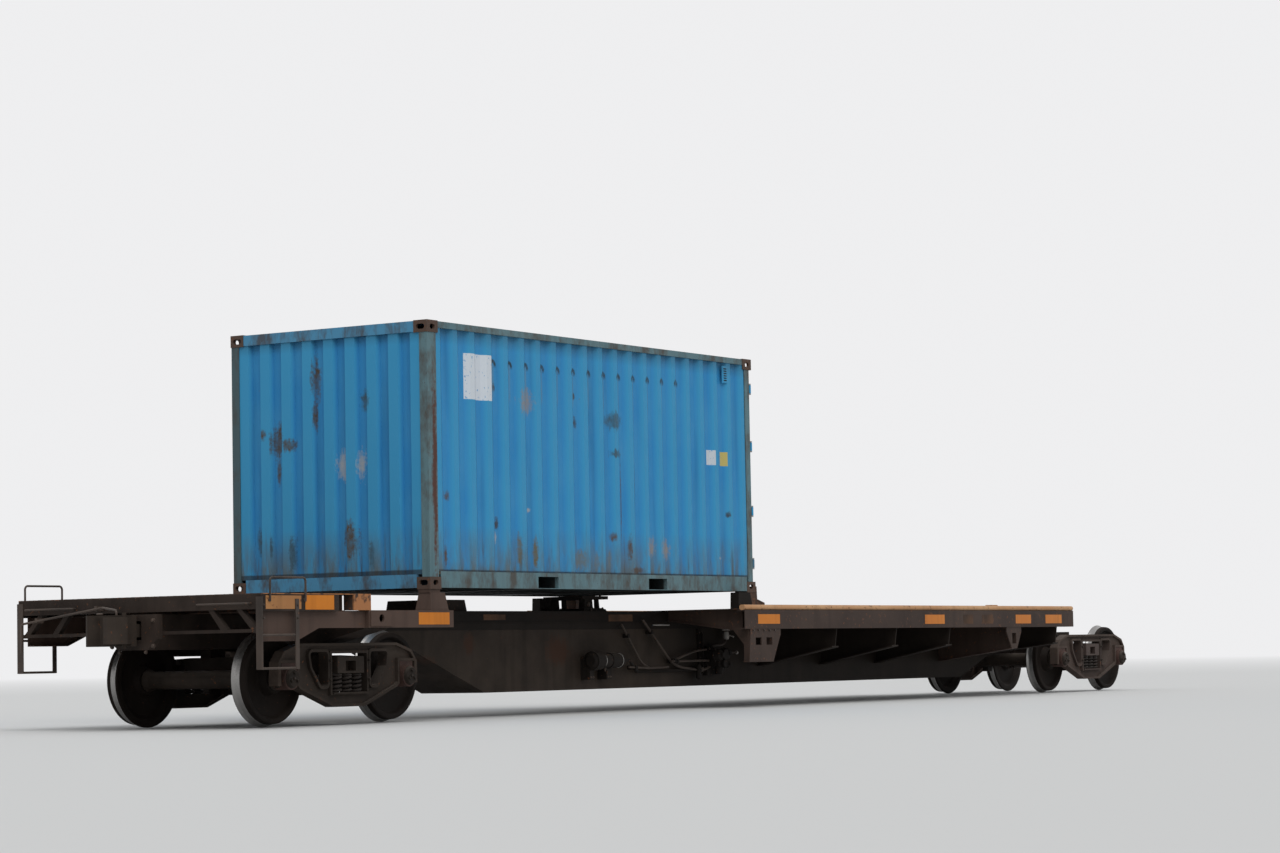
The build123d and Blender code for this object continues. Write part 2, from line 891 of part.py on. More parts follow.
with BuildPart() as trailer_hitch:
    base_rail = [
        (hitch_post_station - 60.0, spine_top_height),
        (hitch_post_station + 400.0, spine_top_height),
        (hitch_post_station + 370.0, spine_top_height + 25.0),
        (hitch_post_station - 30.0, spine_top_height + 45.0),
    ]
    side_plate(base_rail, 255.0, 285.0)
    post = [
        (hitch_post_station, spine_top_height),
        (hitch_post_station + 175.0, spine_top_height),
        (hitch_post_station + 160.0, hitch_head_bottom),
        (hitch_post_station + 15.0, hitch_head_bottom),
    ]
    side_plate(post, 180.0, 255.0)
    strut = [
        (hitch_post_station + 290.0, spine_top_height),
        (hitch_post_station + 335.0, spine_top_height),
        (hitch_post_station + 315.0, hitch_head_bottom),
        (hitch_post_station + 285.0, hitch_head_bottom),
    ]
    side_plate(strut, 190.0, 235.0)
    mirror(about=Plane.XZ)
    cross_cylinder(hitch_post_station + 330.0, -270.0, 270.0, spine_top_height + 22.0, 16.0)
    head_plate = [
        (hitch_post_station - 30.0, -255.0),
        (hitch_post_station + 210.0, -300.0),
        (hitch_post_station + 400.0, -300.0),
        (hitch_post_station + 400.0, -120.0),
        (hitch_post_station + 250.0, -60.0),
        (hitch_post_station + 250.0, 60.0),
        (hitch_post_station + 400.0, 120.0),
        (hitch_post_station + 400.0, 300.0),
        (hitch_post_station + 210.0, 300.0),
        (hitch_post_station - 30.0, 255.0),
    ]
    flat_plate(head_plate, hitch_head_bottom, hitch_head_bottom + 35.0)
write("trailer_hitch", trailer_hitch)

# Saddle block on the spine ahead of the hitch
with BuildPart() as spine_saddle:
    saddle_outline = [
        (2337.0, spine_top_height),
        (2827.0, spine_top_height),
        (2790.0, spine_top_height + 115.0),
        (2370.0, spine_top_height + 115.0),
    ]
    side_plate(saddle_outline, -330.0, 330.0)
write("spine_saddle", spine_saddle)

# Air reservoir on the spine's side: a large front drum, a slimmer body and the brackets under both
drum_radius = 95.0
body_radius = 75.0
reservoir_y = -(spine_half_width + 140.0)
reservoir_height = 520.0
reservoir_front = 4755.0
drum_rear = 4950.0
reservoir_rear = 5345.0
reservoir_profile = (
    (reservoir_front, 0.0),
    (reservoir_front, 60.0),
    (reservoir_front + 25.0, drum_radius),
    (drum_rear - 15.0, drum_radius),
    (drum_rear, body_radius),
    (reservoir_rear - 25.0, body_radius),
    (reservoir_rear, 45.0),
    (reservoir_rear, 0.0),
)

# Columns: front station, rear station, radius of the band round the tank, bottom height of the bracket
reservoir_brackets = (
    (4775.0, 4850.0, drum_radius + 7.0, 320.0),
    (5095.0, 5190.0, body_radius + 7.0, 320.0),
    (5290.0, 5315.0, body_radius + 7.0, 450.0),
)

with BuildPart() as air_reservoir:
    with BuildSketch(Plane.XZ.offset(-reservoir_y)) as reservoir_half:
        with BuildLine():
            Polyline(
                [(x_at(station), z_at(reservoir_height + rise)) for station, rise in reservoir_profile],
                close=True,
            )
        make_face()
    revolve(axis=Axis((0, reservoir_y, z_at(reservoir_height)), (1, 0, 0)))
    for bracket_front, bracket_rear, band_radius, bracket_bottom in reservoir_brackets:
        bar(
            (bracket_front, bracket_rear),
            (-spine_half_width, reservoir_y + 20.0),
            (bracket_bottom, reservoir_height + 40.0),
        )
        long_cylinder(bracket_front, bracket_rear, reservoir_y, reservoir_height, band_radius)
write("air_reservoir", air_reservoir)

# Control valve on its pipe bracket
valve_station = 7350.0
with BuildPart() as control_valve:
    bar((valve_station - 130.0, valve_station + 130.0), (-spine_half_width, -470.0), (330.0, 640.0))
    bar((valve_station - 90.0, valve_station + 90.0), (-470.0, -600.0), (430.0, 600.0))
    cross_cylinder(valve_station, -600.0, -650.0, 560.0, 60.0)
    cross_cylinder(valve_station, -600.0, -640.0, 460.0, 45.0)
    upright_cylinder(valve_station + 20.0, -530.0, 340.0, 430.0, 45.0)
write("control_valve", control_valve)

# Brake pipes along the spine's side
pipe_radius = 17.0
pipe_height = 395.0
pipe_y = -(spine_half_width + lap_thickness + pipe_radius + 2.0)

with BuildPart() as brake_pipes:
    rod(
        [
            (reservoir_rear, reservoir_y, reservoir_height),
            (5520.0, reservoir_y, reservoir_height),
            (5820.0, pipe_y, pipe_height),
            (valve_station - 130.0, pipe_y, pipe_height),
        ],
        60.0,
        pipe_radius,
    )
write("brake_pipes", brake_pipes)

# Articulation connector carried on the rear truck's centre: a root block and its two jaws
connector_front = 15450.0
connector_top_height = 985.0
socket_radius = 235.0
pin_bore_radius = 64.0
tongue_gap_bottom = 790.0
tongue_gap_top = 905.0
jaw_root = truck_centres - socket_radius - 25.0
side_arm_bottom = 715.0
side_arm_top = 775.0

with BuildPart() as articulation_connector:
    connector_side = [
        (connector_front + 60.0, shoulder_height),
        (spine_rear, shoulder_height),
        (spine_rear, spine_top_height),
        (spine_rear + 60.0, spine_top_height),
        (spine_rear + 200.0, connector_top_height),
        (jaw_root, connector_top_height),
        (jaw_root, sill_bottom_height),
        (connector_front + 230.0, sill_bottom_height),
    ]
    side_plate(connector_side, -socket_radius, socket_radius)
write("articulation_connector", articulation_connector)

with BuildPart() as articulation_jaws:
    lower_jaw = (sill_bottom_height, tongue_gap_bottom)
    upper_jaw = (tongue_gap_top, connector_top_height)
    for jaw_bottom, jaw_top in (lower_jaw, upper_jaw):
        bar((jaw_root, truck_centres), (-socket_radius, socket_radius), (jaw_bottom, jaw_top))
        upright_cylinder(truck_centres, 0.0, jaw_bottom, jaw_top, socket_radius)
    upright_cylinder(truck_centres, 0.0, centre_plate_height, sill_bottom_height, centre_plate_radius)
    upright_cylinder(
        truck_centres,
        0.0,
        centre_plate_height,
        connector_top_height,
        pin_bore_radius,
        mode=Mode.SUBTRACT,
    )
    # Side bearing arms of the lower jaw
    side_arm = [
        (connector_front + 330.0, socket_radius),
        (connector_front + 330.0, 560.0),
        (truck_centres - 110.0, side_bearing_y + 70.0),
        (truck_centres - 30.0, side_bearing_y + 70.0),
        (truck_centres - 30.0, 560.0),
        (spine_rear + 330.0, socket_radius),
    ]
    for side in (1, -1):
        flat_plate([(station, side * y) for station, y in side_arm], side_arm_bottom, side_arm_top)
        bar(
            (truck_centres - 110.0, truck_centres - 30.0),
            (side * (side_bearing_y - 50.0), side * (side_bearing_y + 50.0)),
            (body_bearing_height, side_arm_bottom),
        )
write("articulation_jaws", articulation_jaws)

# Container places: along from its front, across from its side, up from its underside


def along(distance):
    """Station of a distance behind the container's front."""
    return container_front + distance


def up(distance):
    """Height of a distance above the container's underside."""
    return container_height + distance


# Stretches of the container's length that its front and rear castings take
casting_stretches = (
    (0.0, casting_length),
    (container_length - casting_length, container_length),
)


def clear_castings():
    """Cut the eight corner casting places out of the open part."""
    for length_from, length_to in casting_stretches:
        for side in (-1, 1):
            for bottom, top in ((0.0, casting_height), (container_tall - casting_height, container_tall)):
                bar(
                    (along(length_from), along(length_to)),
                    (side * (container_half_width - casting_width), side * container_half_width),
                    (up(bottom), up(top)),
                    mode=Mode.SUBTRACT,
                )


container_middle_x = x_at(along(container_length / 2))
container_middle_z = z_at(up(container_tall / 2))
end_aperture = (101.5, 51.0)
side_aperture = (79.5, 51.0)
top_aperture = (124.5, 63.5)

with BuildPart() as container_castings:
    # Bottom front casting on the near side, then mirrored to all eight corners
    bar(
        (along(0), along(casting_length)),
        (-container_half_width, casting_width - container_half_width),
        (up(0), up(casting_height)),
    )
    cavity_wall = 28.0
    bar(
        (along(cavity_wall), along(casting_length + 1.0)),
        (cavity_wall - container_half_width, casting_width + 1.0 - container_half_width),
        (up(cavity_wall), up(casting_height - 20.0)),
        mode=Mode.SUBTRACT,
    )
    casting_middle_x = x_at(along(casting_length / 2))
    casting_middle_y = casting_width / 2 - container_half_width
    with BuildSketch(Plane.XZ.offset(container_half_width)) as side_hole:
        with Locations((casting_middle_x, z_at(up(63.0)))):
            SlotOverall(*side_aperture)
    extrude(side_hole.sketch, amount=-cavity_wall - 1.0, mode=Mode.SUBTRACT)
    with BuildSketch(Plane.YZ.offset(x_at(along(0)))) as end_hole:
        with Locations((casting_middle_y, z_at(up(63.0)))):
            SlotOverall(*end_aperture)
    extrude(end_hole.sketch, amount=cavity_wall + 1.0, mode=Mode.SUBTRACT)
    with BuildSketch(Plane.XY.offset(z_at(up(0)))) as bottom_hole:
        with Locations((casting_middle_x, casting_middle_y)):
            SlotOverall(*top_aperture)
    extrude(bottom_hole.sketch, amount=cavity_wall + 1.0, mode=Mode.SUBTRACT)
    mirror(about=Plane.YZ.offset(container_middle_x))
    mirror(about=Plane.XZ)
    mirror(about=Plane.XY.offset(container_middle_z))
write("container_castings", container_castings)

# Rear corner posts are chamfered round the door hinge pins
hinge_inset = 16.0
hinge_y = container_half_width - 14.0
hinge_pin_radius = 9.0
post_inner_y = 1144.0
front_post = [(6, 6), (150, 6), (150, 42), (62, 62), (42, 100), (6, 100)]
# Rear post as (distance ahead of the hinge axis, distance inboard of the side face)
rear_post = [(28, 6), (28, 27), (76, 75), (125, 75), (125, 6)]

with BuildPart() as corner_posts:
    post_bottom = up(casting_height)
    post_top = up(container_tall - casting_height)
    flat_plate([(along(a), container_half_width - b) for a, b in front_post], post_bottom, post_top)
    hinge_station = along(container_length - hinge_inset)
    flat_plate(
        [(hinge_station - a, container_half_width - b) for a, b in rear_post],
        post_bottom,
        post_top,
    )
    mirror(about=Plane.XZ)
write("corner_posts", corner_posts)

# Bottom frame: side rails, end sills, cross-members and fork pocket tunnels
door_recess = 70.0
rail_flange = 45.0
rail_skin = 6.0
member_depth = 122.0
member_skin = 5.0
pocket_spread = 1025.0
pocket_length = 360.0
pocket_tall = 115.0
pocket_bottom = 20.0
member_pitch = 300.0
side_rail_y = container_half_width - 4.0
floor_top = 172.0
floor_thickness = 28.0
floor_bottom = floor_top - floor_thickness

with BuildPart() as bottom_frame:
    rail_section = [
        (side_rail_y, up(base_clearance)),
        (side_rail_y, up(floor_top)),
        (side_rail_y - rail_skin, up(floor_top)),
        (side_rail_y - rail_skin, up(base_clearance + rail_skin)),
        (side_rail_y - rail_flange, up(base_clearance + rail_skin)),
        (side_rail_y - rail_flange, up(base_clearance)),
    ]
    cross_plate(rail_section, along(casting_length), along(container_length - casting_length))
    mirror(about=Plane.XZ)
    inner_rail_y = side_rail_y - rail_skin
    member_count = int((container_length - 2 * casting_length) / member_pitch)
    member_span = container_length - 2 * casting_length - 120.0
    for index in range(member_count + 1):
        member = casting_length + 60.0 + member_span * index / member_count
        middle_distance = member - container_length / 2
        if abs(abs(middle_distance) - pocket_spread) < pocket_length / 2 + 30.0:
            continue
        member_section = [
            (along(member), up(floor_bottom)),
            (along(member + 45.0), up(floor_bottom)),
            (along(member + 45.0), up(floor_bottom - member_skin)),
            (along(member + member_skin), up(floor_bottom - member_skin)),
            (along(member + member_skin), up(floor_bottom - member_depth + member_skin)),
            (along(member + 45.0), up(floor_bottom - member_depth + member_skin)),
            (along(member + 45.0), up(floor_bottom - member_depth)),
            (along(member), up(floor_bottom - member_depth)),
        ]
        side_plate(member_section, -inner_rail_y, inner_rail_y)
    for pocket_side in (-1, 1):
        pocket_middle = container_length / 2 + pocket_side * pocket_spread
        bar(
            (along(pocket_middle - pocket_length / 2 - 5.0), along(pocket_middle + pocket_length / 2 + 5.0)),
            (-inner_rail_y, inner_rail_y),
            (up(base_clearance), up(floor_bottom)),
        )
        bar(
            (along(pocket_middle - pocket_length / 2), along(pocket_middle + pocket_length / 2)),
            (-container_half_width, container_half_width),
            (up(pocket_bottom), up(pocket_bottom + pocket_tall)),
            mode=Mode.SUBTRACT,
        )
    # End sills between the bottom castings
    end_sill_y = container_half_width - casting_width
    for sill_from, sill_to in ((4.0, 64.0), (container_length - 130.0, container_length - door_recess)):
        bar(
            (along(sill_from), along(sill_to)),
            (-end_sill_y, end_sill_y),
            (up(base_clearance), up(floor_bottom)),
        )
write("bottom_frame", bottom_frame)

with BuildPart() as container_floor:
    bar(
        (along(64.0), along(container_length - 125.0)),
        (-(inner_rail_y - 1.0), inner_rail_y - 1.0),
        (up(floor_bottom), up(floor_top)),
    )
    for corner_from, corner_to in casting_stretches:
        for side in (-1, 1):
            bar(
                (along(corner_from), along(corner_to)),
                (side * (container_half_width - casting_width), side * container_half_width),
                (up(floor_bottom), up(floor_top)),
                mode=Mode.SUBTRACT,
            )
write("container_floor", container_floor)

# Top rails between the top castings
with BuildPart() as top_rails:
    top_rail_bottom = container_tall - 6.0 - top_rail_depth
    bar(
        (along(casting_length), along(container_length - casting_length)),
        (side_rail_y - top_rail_depth, side_rail_y),
        (up(top_rail_bottom), up(container_tall - 6.0)),
    )
    mirror(about=Plane.XZ)
    bar(
        (along(4.0), along(66.0)),
        (-end_sill_y, end_sill_y),
        (up(container_tall - 110.0), up(container_tall - 6.0)),
    )
    bar(
        (along(container_length - 150.0), along(container_length - door_recess)),
        (-end_sill_y, end_sill_y),
        (up(container_tall - 124.0), up(container_tall - 6.0)),
    )
write("top_rails", top_rails)


# Corrugated sheets


def corrugation(start, length, count, flat, slope, depth, outward):
    """Folded sheet line of (run, offset) points with `count` troughs between outer flats."""
    pitch = (length - flat) / count
    trough = pitch - flat - 2 * slope
    points = [(start, 0.0)]
    for index in range(count):
        ridge_end = start + index * pitch + flat
        points.append((ridge_end, 0.0))
        points.append((ridge_end + slope, depth * outward))
        points.append((ridge_end + slope + trough, depth * outward))
        points.append((ridge_end + 2 * slope + trough, 0.0))
    points.append((start + length, 0.0))
    return points


def folded_sheet(line, base, thickness):
    """Closed outline of a folded sheet lying between two copies of its line."""
    outer = [(run, base + offset) for run, offset in line]
    inner = [(run, base + thickness + offset) for run, offset in reversed(line)]
    return outer + inner


side_wall_bottom = floor_top
side_wall_top = top_rail_bottom
side_wall_y = container_half_width - 12.0
side_ridges = 20
side_depth = 36.0

with BuildPart() as side_walls:
    side_line = corrugation(
        along(150.0), container_length - 300.0, side_ridges, 74.0, 66.0, side_depth, -1
    )
    outline = folded_sheet(side_line, side_wall_y, -sheet)
    flat_plate(outline, up(side_wall_bottom), up(side_wall_top))
    mirror(about=Plane.XZ)
    clear_castings()
write("side_walls", side_walls)

with BuildPart() as front_wall:
    front_width = 2 * (container_half_width - 100.0)
    front_line = corrugation(-front_width / 2, front_width, 8, 116.0, 26.0, 45.0, 1)
    front_outline = [(along(offset), y) for y, offset in folded_sheet(front_line, 14.0, sheet)]
    flat_plate(front_outline, up(floor_bottom), up(container_tall - 110.0))
    clear_castings()
write("front_wall", front_wall)

with BuildPart() as container_roof:
    roof_line = corrugation(along(66.0), container_length - 216.0, 26, 90.0, 18.0, 18.0, -1)
    roof_outline = folded_sheet(roof_line, up(container_tall - 10.0), -sheet)
    side_plate(roof_outline, -(side_rail_y - top_rail_depth), side_rail_y - top_rail_depth)
    clear_castings()
write("container_roof", container_roof)

# Doors: each leaf hangs on four blades that curl round the hinge pins
leaf_gap = 6.0
leaf_outer = 75.0
leaf_thickness = 44.0
leaf_frame = 90.0
panel_inset = 4.0
leaf_bottom = floor_bottom + 6.0
leaf_top = container_tall - 124.0 - 8.0
leaf_inner_y = leaf_gap / 2
leaf_outer_y = post_inner_y - 6.0
hinge_heights = (320.0, 900.0, container_tall - 971.0, container_tall - 331.0)
blade_half_height = 45.0
lug_thickness = 14.0
hinge_clearance = 0.4
bar_ys = (230.0, 800.0)
bar_radius = 15.0
bar_inset = 49.0


def door_station(inset):
    """Station of a distance ahead of the container's rear face."""
    return along(container_length - inset)


with BuildPart() as door_fittings:
    lug = [
        (28.0, 8.0),
        (0.0, 13.0),
        (-10.0, 9.0),
        (-13.0, 0.0),
        (-10.0, -9.0),
        (0.0, -13.0),
        (28.0, -13.0),
    ]
    for hinge_height in hinge_heights:
        for end in (-1, 1):
            lug_middle = hinge_height + end * (blade_half_height + lug_thickness / 2 + 3.0)
            flat_plate(
                [(hinge_station - a, hinge_y + b) for a, b in lug],
                up(lug_middle - lug_thickness / 2),
                up(lug_middle + lug_thickness / 2),
            )
        upright_cylinder(
            hinge_station,
            hinge_y,
            up(hinge_height - blade_half_height - lug_thickness),
            up(hinge_height + blade_half_height + lug_thickness),
            hinge_pin_radius,
        )
    # Keepers for the locking bars' cams, as pairs of cheeks on the sill and the header
    for bar_y in bar_ys:
        for cheek_side in (-1, 1):
            cheek_y = bar_y + cheek_side * (bar_radius + 12.0)
            header_keeper = (container_tall - 118.0, container_tall - 75.0)
            for keeper_from, keeper_to in ((95.0, 140.0), header_keeper):
                bar(
                    (door_station(door_recess), door_station(38.0)),
                    (cheek_y - 5.0, cheek_y + 5.0),
                    (up(keeper_from), up(keeper_to)),
                )
    mirror(about=Plane.XZ)
write("door_fittings", door_fittings)

for name, side in (("door_leaf_right", -1), ("door_leaf_left", 1)):
    with BuildPart() as door_leaf:
        bar(
            (door_station(leaf_outer), door_station(leaf_outer + leaf_thickness)),
            (side * leaf_inner_y, side * leaf_outer_y),
            (up(leaf_bottom), up(leaf_top)),
        )
        bar(
            (door_station(leaf_outer), door_station(leaf_outer + leaf_thickness)),
            (side * (leaf_inner_y + leaf_frame), side * (leaf_outer_y - leaf_frame)),
            (up(leaf_bottom + leaf_frame), up(leaf_top - leaf_frame)),
            mode=Mode.SUBTRACT,
        )
        panel_tall = leaf_top - leaf_bottom - 2 * leaf_frame
        panel_line = corrugation(up(leaf_bottom + leaf_frame), panel_tall, 5, 150.0, 30.0, 34.0, -1)
        folded_panel = folded_sheet(panel_line, door_station(leaf_outer + panel_inset), -sheet)
        panel = [(station, height) for height, station in folded_panel]
        side_plate(panel, side * (leaf_inner_y + leaf_frame), side * (leaf_outer_y - leaf_frame))
        for hinge_height in hinge_heights:
            # Blade from the leaf's face out to the eye, as (ahead of the axis, inboard of the axis)
            blade = [(4.0, -4.0), (-4.0, 4.0), (53.0, 61.0), (53.0, 150.0), (63.0, 150.0), (63.0, 55.0)]
            flat_plate(
                [(hinge_station - a, side * (hinge_y - b)) for a, b in blade],
                up(hinge_height - blade_half_height),
                up(hinge_height + blade_half_height),
            )
            upright_cylinder(
                hinge_station,
                side * hinge_y,
                up(hinge_height - blade_half_height),
                up(hinge_height + blade_half_height),
                hinge_pin_radius + 5.0,
            )
            upright_cylinder(
                hinge_station,
                side * hinge_y,
                up(hinge_height - blade_half_height),
                up(hinge_height + blade_half_height),
                hinge_pin_radius + hinge_clearance,
                mode=Mode.SUBTRACT,
            )
    write(name, door_leaf)

bar_bottom = leaf_bottom - 45.0
bar_top = leaf_top + 45.0
guide_heights = (300.0, 1080.0, container_tall - 1091.0, container_tall - 291.0)
handle_height = 1180.0

for name, side in (("locking_bars_right", -1), ("locking_bars_left", 1)):
    with BuildPart() as locking_bars:
        for bar_y in bar_ys:
            upright_cylinder(door_station(bar_inset), side * bar_y, up(bar_bottom), up(bar_top), bar_radius)
            for guide_height in guide_heights:
                bar(
                    (door_station(bar_inset - 4.0), door_station(leaf_outer + panel_inset - seat_gap)),
                    (side * (bar_y - 32.0), side * (bar_y + 32.0)),
                    (up(guide_height - 22.0), up(guide_height + 22.0)),
                )
            handle_end = bar_y + 330.0 if bar_y < 500.0 else bar_y - 330.0
            bar(
                (door_station(bar_inset - 12.0), door_station(bar_inset + 6.0)),
                (side * bar_y, side * handle_end),
                (up(handle_height + bar_y / 5.0 - 15.0), up(handle_height + bar_y / 5.0 + 15.0)),
            )
    write(name, locking_bars)

# Trucks. Places on a truck are (distance from its centre, y, height)
frame_inner_y = 905.0
frame_outer_y = 1015.0
side_frame_top_height = 735.0
jaw_half_width = 118.0
jaw_roof_height = 560.0
bolster_end_half_width = 200.0
bolster_middle_half_width = 185.0
spring_seat_height = 280.0
bolster_bottom_height = 455.0
bolster_top_height = 610.0
bearing_radius = 105.0
bearing_inner_y = journal_y - 95.0
bearing_outer_y = journal_y + 57.0
journal_radius = 74.0
bearing_bore_radius = journal_radius + seat_gap
truck_bearing_height = body_bearing_height - 6.0
bowl_rim_height = 30.0
# Pocket cast into each end of a bolster
bolster_end_y = 1030.0
pocket_half_length = 75.0
pocket_depth = 90.0

half_spacing = axle_spacing / 2
# Right half of the side frame's outline, as (distance from the truck's centre, height)
frame_half = [
    (0.0, side_frame_top_height),
    (730.0, side_frame_top_height),
    (960.0, 668.0),
    (1045.0, 566.0),
    (1052.0, 352.0),
    (half_spacing + jaw_half_width, 352.0),
    (half_spacing + jaw_half_width, jaw_roof_height),
    (half_spacing - jaw_half_width, jaw_roof_height),
    (half_spacing - jaw_half_width, 352.0),
    (730.0, 318.0),
    (232.0, 145.0),
    (0.0, 145.0),
]
# Teardrop window between a column and a jaw, its corners rounded
frame_window = [
    (322.0, 655.0),
    (590.0, 655.0),
    (560.0, 520.0),
    (425.0, 340.0),
    (322.0, 340.0),
]
window_corner_radius = 32.0
frame_opening = [
    (-262.0, spring_seat_height),
    (262.0, spring_seat_height),
    (262.0, 640.0),
    (-262.0, 640.0),
]
frame_flange = 26.0
frame_recess = 34.0
spring_seat_half_width = 66.0
coil_radius = 62.0
coil_spread = 148.0
coil_y = (frame_inner_y + frame_outer_y) / 2


def truck_side_plate(truck_station, outline, y_from, y_to, mode=Mode.ADD):
    """Plate on a truck, its outline given as (distance from the truck's centre, height)."""
    with BuildSketch(Plane.XZ.offset(-y_from)) as face:
        with BuildLine():
            Polyline([(x_at(truck_station + s), z_at(height)) for s, height in outline], close=True)
        make_face()
    extrude(face.sketch, amount=y_from - y_to, mode=mode)


def mirrored(outline):
    """Same outline on the other side of the truck's centre."""
    return [(-s, height) for s, height in outline]


def side_frame(truck_station):
    """One cast side frame: flanged outline, recessed web, windows, bolster opening and spring seat."""
    outline = frame_half + list(reversed(mirrored(frame_half[1:-1])))
    with BuildSketch(Plane.XZ.offset(-frame_outer_y)) as face:
        with BuildLine():
            Polyline([(x_at(truck_station + s), z_at(height)) for s, height in outline], close=True)
        make_face()
        for window in (frame_window, mirrored(frame_window)):
            with BuildSketch(mode=Mode.PRIVATE) as teardrop:
                with BuildLine():
                    Polyline([(x_at(truck_station + s), z_at(height)) for s, height in window], close=True)
                make_face()
                fillet(teardrop.vertices(), window_corner_radius)
            add(teardrop.sketch, mode=Mode.SUBTRACT)
        with BuildLine():
            Polyline([(x_at(truck_station + s), z_at(height)) for s, height in frame_opening], close=True)
        make_face(mode=Mode.SUBTRACT)
    extrude(face.sketch, amount=frame_outer_y - frame_inner_y)
    # The web lies back from both faces inside the flanges
    for plane_y, inward in ((frame_outer_y, 1.0), (frame_inner_y, -1.0)):
        recess = offset(face.sketch, amount=-frame_flange, kind=Kind.INTERSECTION, mode=Mode.PRIVATE)
        recess = recess.moved(Location((0, plane_y - frame_outer_y, 0)))
        extrude(recess, amount=inward * frame_recess, mode=Mode.SUBTRACT)
    bar(
        (truck_station - frame_opening[1][0] + 10.0, truck_station + frame_opening[1][0] - 10.0),
        (coil_y - spring_seat_half_width, coil_y + spring_seat_half_width),
        (spring_seat_height - 18.0, spring_seat_height),
    )


for truck, truck_station in (("truck_a", 0.0), ("truck_b", truck_centres)):
    with BuildPart() as side_frames:
        side_frame(truck_station)
        mirror(about=Plane.XZ)
    write(f"{truck}_side_frames", side_frames)

    with BuildPart() as truck_bolster:
        bolster_half = [
            (0.0, 330.0),
            (450.0, 370.0),
            (bolster_end_y - 210.0, bolster_bottom_height),
            (bolster_end_y, bolster_bottom_height),
            (bolster_end_y, bolster_top_height),
            (760.0, centre_plate_height - 30.0),
            (0.0, centre_plate_height - 30.0),
        ]
        whole = bolster_half + [(-y, height) for y, height in reversed(bolster_half[1:-1])]
        bolster_front = truck_station - bolster_middle_half_width
        cross_plate(whole, bolster_front, truck_station + bolster_middle_half_width)
        for side in (-1, 1):
            bar(
                (truck_station - bolster_end_half_width, truck_station + bolster_end_half_width),
                (side * 880.0, side * bolster_end_y),
                (bolster_bottom_height, bolster_top_height),
            )
            bar(
                (truck_station - pocket_half_length, truck_station + pocket_half_length),
                (side * (bolster_end_y - pocket_depth), side * (bolster_end_y + 1.0)),
                (bolster_bottom_height + 22.0, bolster_top_height - 40.0),
                mode=Mode.SUBTRACT,
            )
            bar(
                (truck_station - 110.0, truck_station + 110.0),
                (side * (side_bearing_y - 60.0), side * (side_bearing_y + 60.0)),
                (centre_plate_height - 40.0, truck_bearing_height),
            )
        upright_cylinder(
            truck_station, 0.0, centre_plate_height - 35.0, centre_plate_height + bowl_rim_height, 232.0
        )
        upright_cylinder(
            truck_station,
            0.0,
            centre_plate_height - seat_gap,
            centre_plate_height + bowl_rim_height + 1.0,
            centre_plate_radius + 4.0,
            mode=Mode.SUBTRACT,
        )
    write(f"{truck}_bolster", truck_bolster)

    with BuildPart() as springs:
        for s in (-coil_spread, 0.0, coil_spread):
            upright_cylinder(
                truck_station + s,
                coil_y,
                spring_seat_height + seat_gap,
                bolster_bottom_height - seat_gap,
                coil_radius,
            )
        mirror(about=Plane.XZ)
    write(f"{truck}_springs", springs)

    with BuildPart() as bearings:
        for end in (-1, 1):
            axle_s = end * half_spacing
            adapter = [
                (axle_s - 100.0, wheel_radius),
                (axle_s - 100.0, jaw_roof_height - seat_gap),
                (axle_s + 100.0, jaw_roof_height - seat_gap),
                (axle_s + 100.0, wheel_radius),
            ]
            truck_side_plate(truck_station, adapter, 915.0, 1005.0)
            axle_station = truck_station + axle_s
            cross_cylinder(axle_station, bearing_inner_y, bearing_outer_y, wheel_radius, bearing_radius)
            cross_cylinder(
                axle_station,
                bearing_inner_y - 10.0,
                bearing_outer_y + 8.0,
                wheel_radius,
                bearing_bore_radius,
                mode=Mode.SUBTRACT,
            )
        mirror(about=Plane.XZ)
    write(f"{truck}_bearings", bearings)

    with BuildPart() as brake_beams:
        for end in (-1, 1):
            beam_s = end * 370.0
            beam = [
                (beam_s - 35.0, 330.0),
                (beam_s + 35.0, 330.0),
                (beam_s + 35.0, 400.0),
                (beam_s - 35.0, 400.0),
            ]
            truck_side_plate(truck_station, beam, -830.0, 830.0)
            # Guide lugs run in the side frames
            bar(
                (truck_station + beam_s - 30.0, truck_station + beam_s + 30.0),
                (-(frame_inner_y - seat_gap), frame_inner_y - seat_gap),
                (335.0, 372.0),
            )
        for end in (-1, 1):
            for side in (-1, 1):
                bar(
                    (truck_station + end * 330.0, truck_station + end * 450.0),
                    (side * 710.0, side * 790.0),
                    (260.0, 560.0),
                )
        # Shoes are cut back to the wheels' treads with a running gap
        for end in (-1, 1):
            for side in (-1, 1):
                cross_cylinder(
                    truck_station + end * half_spacing,
                    side * 650.0,
                    side * 850.0,
                    wheel_radius,
                    wheel_radius + flange_height + 6.0,
                    mode=Mode.SUBTRACT,
                )
    write(f"{truck}_brake_beams", brake_beams)

# Wheelsets
wheel_front_y = wheel_back_y + wheel_width
hub_radius = 130.0
seat_radius = 105.0
axle_body_radius = 84.0
cap_radius = 90.0

